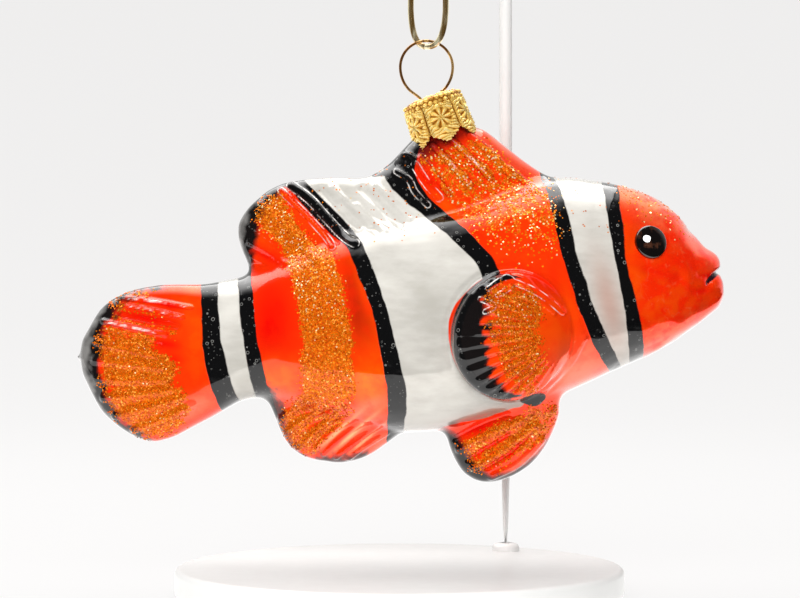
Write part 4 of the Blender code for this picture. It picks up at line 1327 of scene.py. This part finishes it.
def drop(name, place, outward, radius, rise, stretch, material):
    """A dome of enamel, spun about its middle; stretch makes it wider than tall."""
    rows = [(r, dome(r)) for r in np.linspace(0.01, 0.94, DROP_ROWS)] + DROP_FOOT
    bm = spun([(r * radius, h * rise) for r, h in rows], DROP_SIDES, radius / 1000)
    rims = [edge for edge in bm.edges if edge.is_boundary]
    bmesh.ops.holes_fill(bm, edges=rims, sides=0)
    turn = Matrix((*level_and_up(outward), outward)).transposed()
    for vert in bm.verts:
        vert.co = place + turn @ (Vector((vert.co.x * stretch, vert.co.y, vert.co.z)) * MM)
    obj = from_bmesh(name, bm, material)
    obj.data.set_sharp_from_angle(angle=math.radians(50))
    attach(obj, "root")
    return obj


enamel_black, tree, shader = new_material("enamel_black", Coat_Weight=1.0, Coat_Roughness=0.01)
cloud = fill_group(tree, streaks, {"Fineness": 620.0, "Stretch": 1.0})
# brown spots on the black enamel are painted reflections
painted_reflection_spots = ramp(tree, cloud["Streaks"], 0.50, 0.66)
hue = mixed(tree, painted_reflection_spots, (0.0022, 0.0014, 0.0012, 1), (0.040, 0.014, 0.007, 1))
tree.links.new(hue, shader.inputs["Base Color"])
tree.links.new(between(tree, cloud["Streaks"], 0.03, 0.10), shader.inputs["Roughness"])
enamel_white, tree, shader = new_material("enamel_white", Coat_Weight=1.0, Coat_Roughness=0.02)
cloud = fill_group(tree, streaks, {"Fineness": 900.0, "Stretch": 1.0})
hue = mixed(tree, cloud["Streaks"], (0.84, 0.84, 0.82, 1), (0.92, 0.92, 0.90, 1))
tree.links.new(hue, shader.inputs["Base Color"])
tree.links.new(between(tree, cloud["Streaks"], 0.10, 0.20), shader.inputs["Roughness"])

EYE_RADIUS = 2.98
EYE_RISE = 1.15
GLINT_AT = (-1.15, 0.3)  # from the middle of the eye
GLINT_RADIUS = 0.66
GLINT_RISE = 0.16
GLINT_STRETCH = 1.2
for side, label in ((-1, "right"), (1, "left")):
    place, outward = on_skin(*EYE_AT, side)
    eye = drop("eye_dome_" + label, place, outward, EYE_RADIUS, EYE_RISE, 1.0, enamel_black)
    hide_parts("eye_" + label)
    level, up = level_and_up(outward)
    out = EYE_RISE * dome(math.hypot(*GLINT_AT) / EYE_RADIUS)
    spot = place + (level * (-side * GLINT_AT[0]) + up * GLINT_AT[1] + outward * out) * MM
    glint = "eye_glint_" + label
    drop(glint, spot, outward, GLINT_RADIUS, GLINT_RISE, GLINT_STRETCH, enamel_white)
print("left eye at", [round(c / MM, 1) for c in place])

# %% [markdown]
# ## The cap
# A round blank of thin gold-coloured sheet is embossed flat with beads, slanting veins and one
# eight-pointed star for each petal, then pressed into a cup whose skirt is cut into six pointed petals.
# Here the sheet is a flat grid too: its rows run from the middle of the top over the shoulder and down
# the skirt, and each point is rolled into place with the emboss added. Solidify gives the sheet its
# thickness. A bump could fake the pattern, but not along the cap's outline, where the relief shows. The
# emboss's hollows are painted brown as shade, and its high places pale gold as painted highlights.

# %% Size of the cap
CAP_TOP = (5.3, 36.2)  # the middle of its top, on the fish
CAP_LEAN = 19.5  # degrees
CAP_RADIUS = 5.1
CAP_SHOULDER = 0.55  # radius of the bend between top and skirt
CAP_FLAT = CAP_RADIUS - CAP_SHOULDER
CAP_BEND = CAP_SHOULDER * math.pi / 2
CAP_FLARE = 0.5
CAP_SKIRT = 6.1
CAP_PETAL = 2.4  # how far a petal's tip reaches past the skirt
CAP_PETALS = 6
CAP_TURN = -27.0  # degrees
CAP_ROUND = 252
CAP_ROWS = 84
CAP_SHEET = 0.35
BEAD = 0.95  # from one bead to the next
BEAD_DOWN = 0.80  # from one row of beads to the next
BEAD_ROWS = 2  # below the top, which is full of them
BEAD_HIGH = 0.48
VEIN = 0.62  # from one vein of a petal to the next
VEIN_HIGH = 0.46
STAR_AT = 4.1  # below the top
STAR_RADIUS = 2.0
STAR_HIGH = 0.70
PETAL_HALF = 2.75
print("cap", 2 * CAP_RADIUS, "mm across its shoulder")


def on_cap(x, y, z):
    lean = Matrix.Rotation(math.radians(-CAP_LEAN), 3, "Y")
    return FISH + (Vector((CAP_TOP[0], 0, CAP_TOP[1])) + lean @ Vector((x, y, z))) * MM


def cap_profile(along):
    """Radius and depth below the top for a length along the sheet, in millimetres."""
    if along < CAP_FLAT:
        return along, 0.0
    if along < CAP_FLAT + CAP_BEND:
        turn = (along - CAP_FLAT) / CAP_SHOULDER
        return CAP_FLAT + CAP_SHOULDER * math.sin(turn), CAP_SHOULDER * (1 - math.cos(turn))
    down = along - CAP_FLAT - CAP_BEND
    return CAP_RADIUS + CAP_FLARE * down / (CAP_SKIRT + CAP_PETAL), CAP_SHOULDER + down


def petal(across):
    """How far a petal reaches down: 1 at its pointed tip, less at its sides, and a slit between two."""
    aside = abs(across) / PETAL_HALF
    return 1.0 - 0.75 * aside if aside < 0.86 else 0.355 - 5.5 * (aside - 0.86)


def emboss(across, depth):
    """Height of the pattern; across is measured from the middle of a petal."""
    row = math.floor(depth / BEAD_DOWN)
    from_row = depth / BEAD_DOWN - row - 0.5
    slot = across / BEAD + 0.5 * (row % 2)
    from_bead = slot % 1.0 - 0.5
    chance = noise.cell(Vector((math.floor(slot) * 3.7, row * 5.3, 0.5)))
    bead = BEAD_HIGH * (0.6 + 0.4 * chance) * math.sqrt(max(0.0, 1 - 4.2 * (from_row**2 + from_bead**2)))
    wander = noise.noise(Vector((across * 0.9, depth * 0.9, 0.0)))
    vein = VEIN_HIGH * abs(math.sin(math.pi * (depth - 0.35 * abs(across) + 0.5 * wander) / VEIN))
    height = bead if row < BEAD_ROWS else vein
    away = math.hypot(across, depth - STAR_AT)
    turn = math.atan2(depth - STAR_AT, across)
    star = STAR_HIGH * abs(math.cos(4 * turn)) ** 2.2
    star *= min(1.0, away / 0.35) * max(0.0, 1 - away / 2.1) ** 0.5
    inside = max(0.0, min(1.0, (STAR_RADIUS - away) / 0.25))
    height = height * (1 - inside) + star * inside
    crease = math.exp(-((1 - abs(across) / PETAL_HALF) / 0.10) ** 2) * min(1.0, max(0.0, depth - 1.2) / 1.5)
    return height + 0.10 * wander - 0.45 * crease


# %% Emboss the sheet and roll it up
CAP_LONG = CAP_FLAT + CAP_BEND + CAP_SKIRT - CAP_SHOULDER  # from the middle down to the petals
bm = bmesh.new()
bmesh.ops.create_grid(bm, x_segments=CAP_ROUND, y_segments=CAP_ROWS, size=0.5)
rises = []
for vert in bm.verts:
    angle = (vert.co.x + 0.5) * 2 * math.pi
    rows_down = 0.5 - vert.co.y
    from_petal = (angle - math.radians(CAP_TURN)) % (2 * math.pi / CAP_PETALS)
    if from_petal > math.pi / CAP_PETALS:
        from_petal -= 2 * math.pi / CAP_PETALS
    across = from_petal * CAP_RADIUS
    along = rows_down * (CAP_LONG + CAP_PETAL * petal(across)) if rows_down else 0.0
    radius, depth = cap_profile(along)
    if depth > 0:
        rise = emboss(across, depth)
    else:
        rise = emboss(from_petal * radius, radius - CAP_FLAT)
    rise *= min(1.0, along / 0.6)
    rises.append(rise)
    out, up = (radius + rise, -depth) if depth > 0 else (radius, rise)
    vert.co = on_cap(out * math.cos(angle), out * math.sin(angle), up)
heights = bm.verts.layers.float.new("emboss")
for vert, rise in zip(bm.verts, rises):
    vert[heights] = rise
bmesh.ops.remove_doubles(bm, verts=bm.verts, dist=0.01 * MM)
print("emboss up to", round(max(rises), 2), "mm")

# %% Gold foil
foil, tree, shader = new_material("gold_foil", Metallic=0.60)
wear = fill_group(tree, streaks, {"Fineness": 900.0, "Stretch": 1.0})
gold = mixed(tree, wear["Clouds"], (1.0, 0.56, 0.08, 1), (1.0, 0.70, 0.20, 1))
# pale gold on the emboss's high places: painted highlights
painted_highlight_share = ramp(tree, attribute(tree, "emboss"), 0.28, 0.46)
gold = mixed(tree, painted_highlight_share, gold, (1.0, 0.80, 0.32, 1))
# brown in the emboss's hollows: painted shade
painted_lit_share = ramp(tree, attribute(tree, "emboss"), 0.0, 0.28)
tree.links.new(mixed(tree, painted_lit_share, (0.34, 0.11, 0.005, 1), gold), shader.inputs["Base Color"])
tree.links.new(between(tree, wear["Streaks"], 0.12, 0.30), shader.inputs["Roughness"])
cap = from_bmesh("cap_foil", bm, foil)
wall = cap.modifiers.new("sheet", "SOLIDIFY")
wall.thickness = CAP_SHEET * MM
wall.offset = -1.0
apply_modifiers(cap)
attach(cap, "root")
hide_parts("cap")
print("cap", triangles(cap), "triangles")

# %% [markdown]
# ## Wires and rod
# The imported ring, link and rod have few sides. A welded copy of each is put back into four-sided faces and
# given a Subdivision Surface, which rounds it. Subdivision draws a coarse tube in by a known share, so the
# copy is first grown by that much. New curves with a bevel would be as round, but would have to repeat
# the solids' route. Wire is drawn through a die, which leaves fine streaks in its roughness; its colour is
# streaked dark and light along its length as painted reflections.

# %% Rounded copies
TUBE_SIDES = 8
ROUNDING_LEVELS = 2


def rounded_copy(name, packed, radius, material):
    """A packed tube made round; the radius is the tube's own, in millimetres."""
    obj = merged_copy(name, [packed])
    bm = bmesh.new()
    bm.from_mesh(obj.data)
    bmesh.ops.join_triangles(
        bm, faces=bm.faces, angle_face_threshold=math.radians(60), angle_shape_threshold=math.radians(60)
    )
    bm.to_mesh(obj.data)
    bm.free()
    drawn_in = 1 - (4 + 2 * math.cos(2 * math.pi / TUBE_SIDES)) / 6
    set_places(obj.data, places(obj.data) + normals(obj.data) * radius * drawn_in * MM)
    smooth = obj.modifiers.new("round", "SUBSURF")
    smooth.levels = ROUNDING_LEVELS
    smooth.render_levels = ROUNDING_LEVELS
    apply_modifiers(obj)
    obj.data.materials.append(material)
    obj.data.shade_smooth()
    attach(obj, "root")
    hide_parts(packed)
    print(name, triangles(obj), "triangles")


def drawn_metal(name, metallic, dull, bright, smooth, rough):
    material, tree, shader = new_material(name, Metallic=metallic)
    marks = fill_group(tree, streaks, {"Fineness": 760.0, "Stretch": 0.10})
    # dark and bright streaks of colour along the wire: painted reflections
    painted_lit_share = ramp(tree, marks["Streaks"], 0.40, 0.60)
    tree.links.new(mixed(tree, painted_lit_share, dull, bright), shader.inputs["Base Color"])
    tree.links.new(between(tree, marks["Streaks"], smooth, rough), shader.inputs["Roughness"])
    return material


ring_gold = drawn_metal("ring_wire", 0.85, (0.26, 0.11, 0.025, 1), (0.78, 0.48, 0.17, 1), 0.16, 0.30)
link_brass = drawn_metal("link_wire", 0.80, (0.24, 0.14, 0.04, 1), (1.0, 0.90, 0.60, 1), 0.08, 0.20)
rounded_copy("ring_loop", "hanging_ring", 0.25, ring_gold)
rounded_copy("link_loop", "stand_link", 0.55, link_brass)

# %% [markdown]
# ## Stand
# The base is a turned steel disc with softened rims, and the rod stands in it in a small collar. Both are
# painted satin white, so that they keep quiet next to the fish. A cylinder with a Bevel would do for the
# disc; one spun profile gives its rims and the collar in the same way.

# %% Lacquer, rod, base and collar
lacquer_white, tree, shader = new_material("white_lacquer", Coat_Weight=0.3, Coat_Roughness=0.2)
peel = fill_group(tree, streaks, {"Fineness": 500.0, "Stretch": 1.0})
hue = mixed(tree, peel["Clouds"], (0.52, 0.52, 0.51, 1), (0.56, 0.56, 0.55, 1))
tree.links.new(hue, shader.inputs["Base Color"])
tree.links.new(between(tree, peel["Streaks"], 0.34, 0.48), shader.inputs["Roughness"])
dimples = node(tree, "ShaderNodeBump", {"Height": peel["Streaks"], "Strength": 0.2, "Distance": 0.02 * MM})
tree.links.new(dimples.outputs["Normal"], shader.inputs["Normal"])
rounded_copy("stand_rod_round", "stand_rod", 1.2, lacquer_white)


def turned(name, profile, centre, material, sides=160):
    """A lathe shape, from its profile's (radius, height) points in millimetres."""
    bm = spun([(radius * MM, height * MM) for radius, height in profile], sides, 0.001 * MM)
    bmesh.ops.translate(bm, vec=centre, verts=bm.verts)
    obj = from_bmesh(name, bm, material)
    obj.data.set_sharp_from_angle(angle=math.radians(40))
    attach(obj, "root")
    return obj


def rounded_corner(radius, height, rounding, start, steps=8):
    """Points of a quarter round about (radius, height), from an angle on by a quarter turn."""
    turns = [math.radians(start + 90 * k / steps) for k in range(steps + 1)]
    return [(radius + rounding * math.cos(t), height + rounding * math.sin(t)) for t in turns]


low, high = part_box("stand_base")
BASE_RADIUS = (high.x - low.x) / 2 / MM
BASE_HEIGHT = (high.z - low.z) / MM
BASE_ROUNDING = 1.0
edge_at = BASE_RADIUS - BASE_ROUNDING
outline = [(0.0, 0.0)] + rounded_corner(edge_at, BASE_ROUNDING, BASE_ROUNDING, -90)
outline += rounded_corner(edge_at, BASE_HEIGHT - BASE_ROUNDING, BASE_ROUNDING, 0) + [(0.0, BASE_HEIGHT)]
base = turned("stand_base_disc", outline, (0, 0, 0), lacquer_white)
base.visible_glossy = False  # the glass mirrors the bright table under it instead
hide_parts("stand_base")

rod_points = places(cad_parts["stand_rod"].data)
foot = rod_points[rod_points[:, 2] < rod_points[:, 2].min() + MM].mean(axis=0)
COLLAR = ((1.15, -0.3), (2.6, -0.3), (2.6, 0.7), (2.3, 1.2), (1.5, 1.5), (1.15, 1.5), (1.15, -0.3))
collar_at = (foot[0], foot[1], BASE_HEIGHT * MM)
turned("stand_collar", COLLAR, collar_at, lacquer_white, sides=48)
print("rod foot at", [round(c / MM, 2) for c in foot])
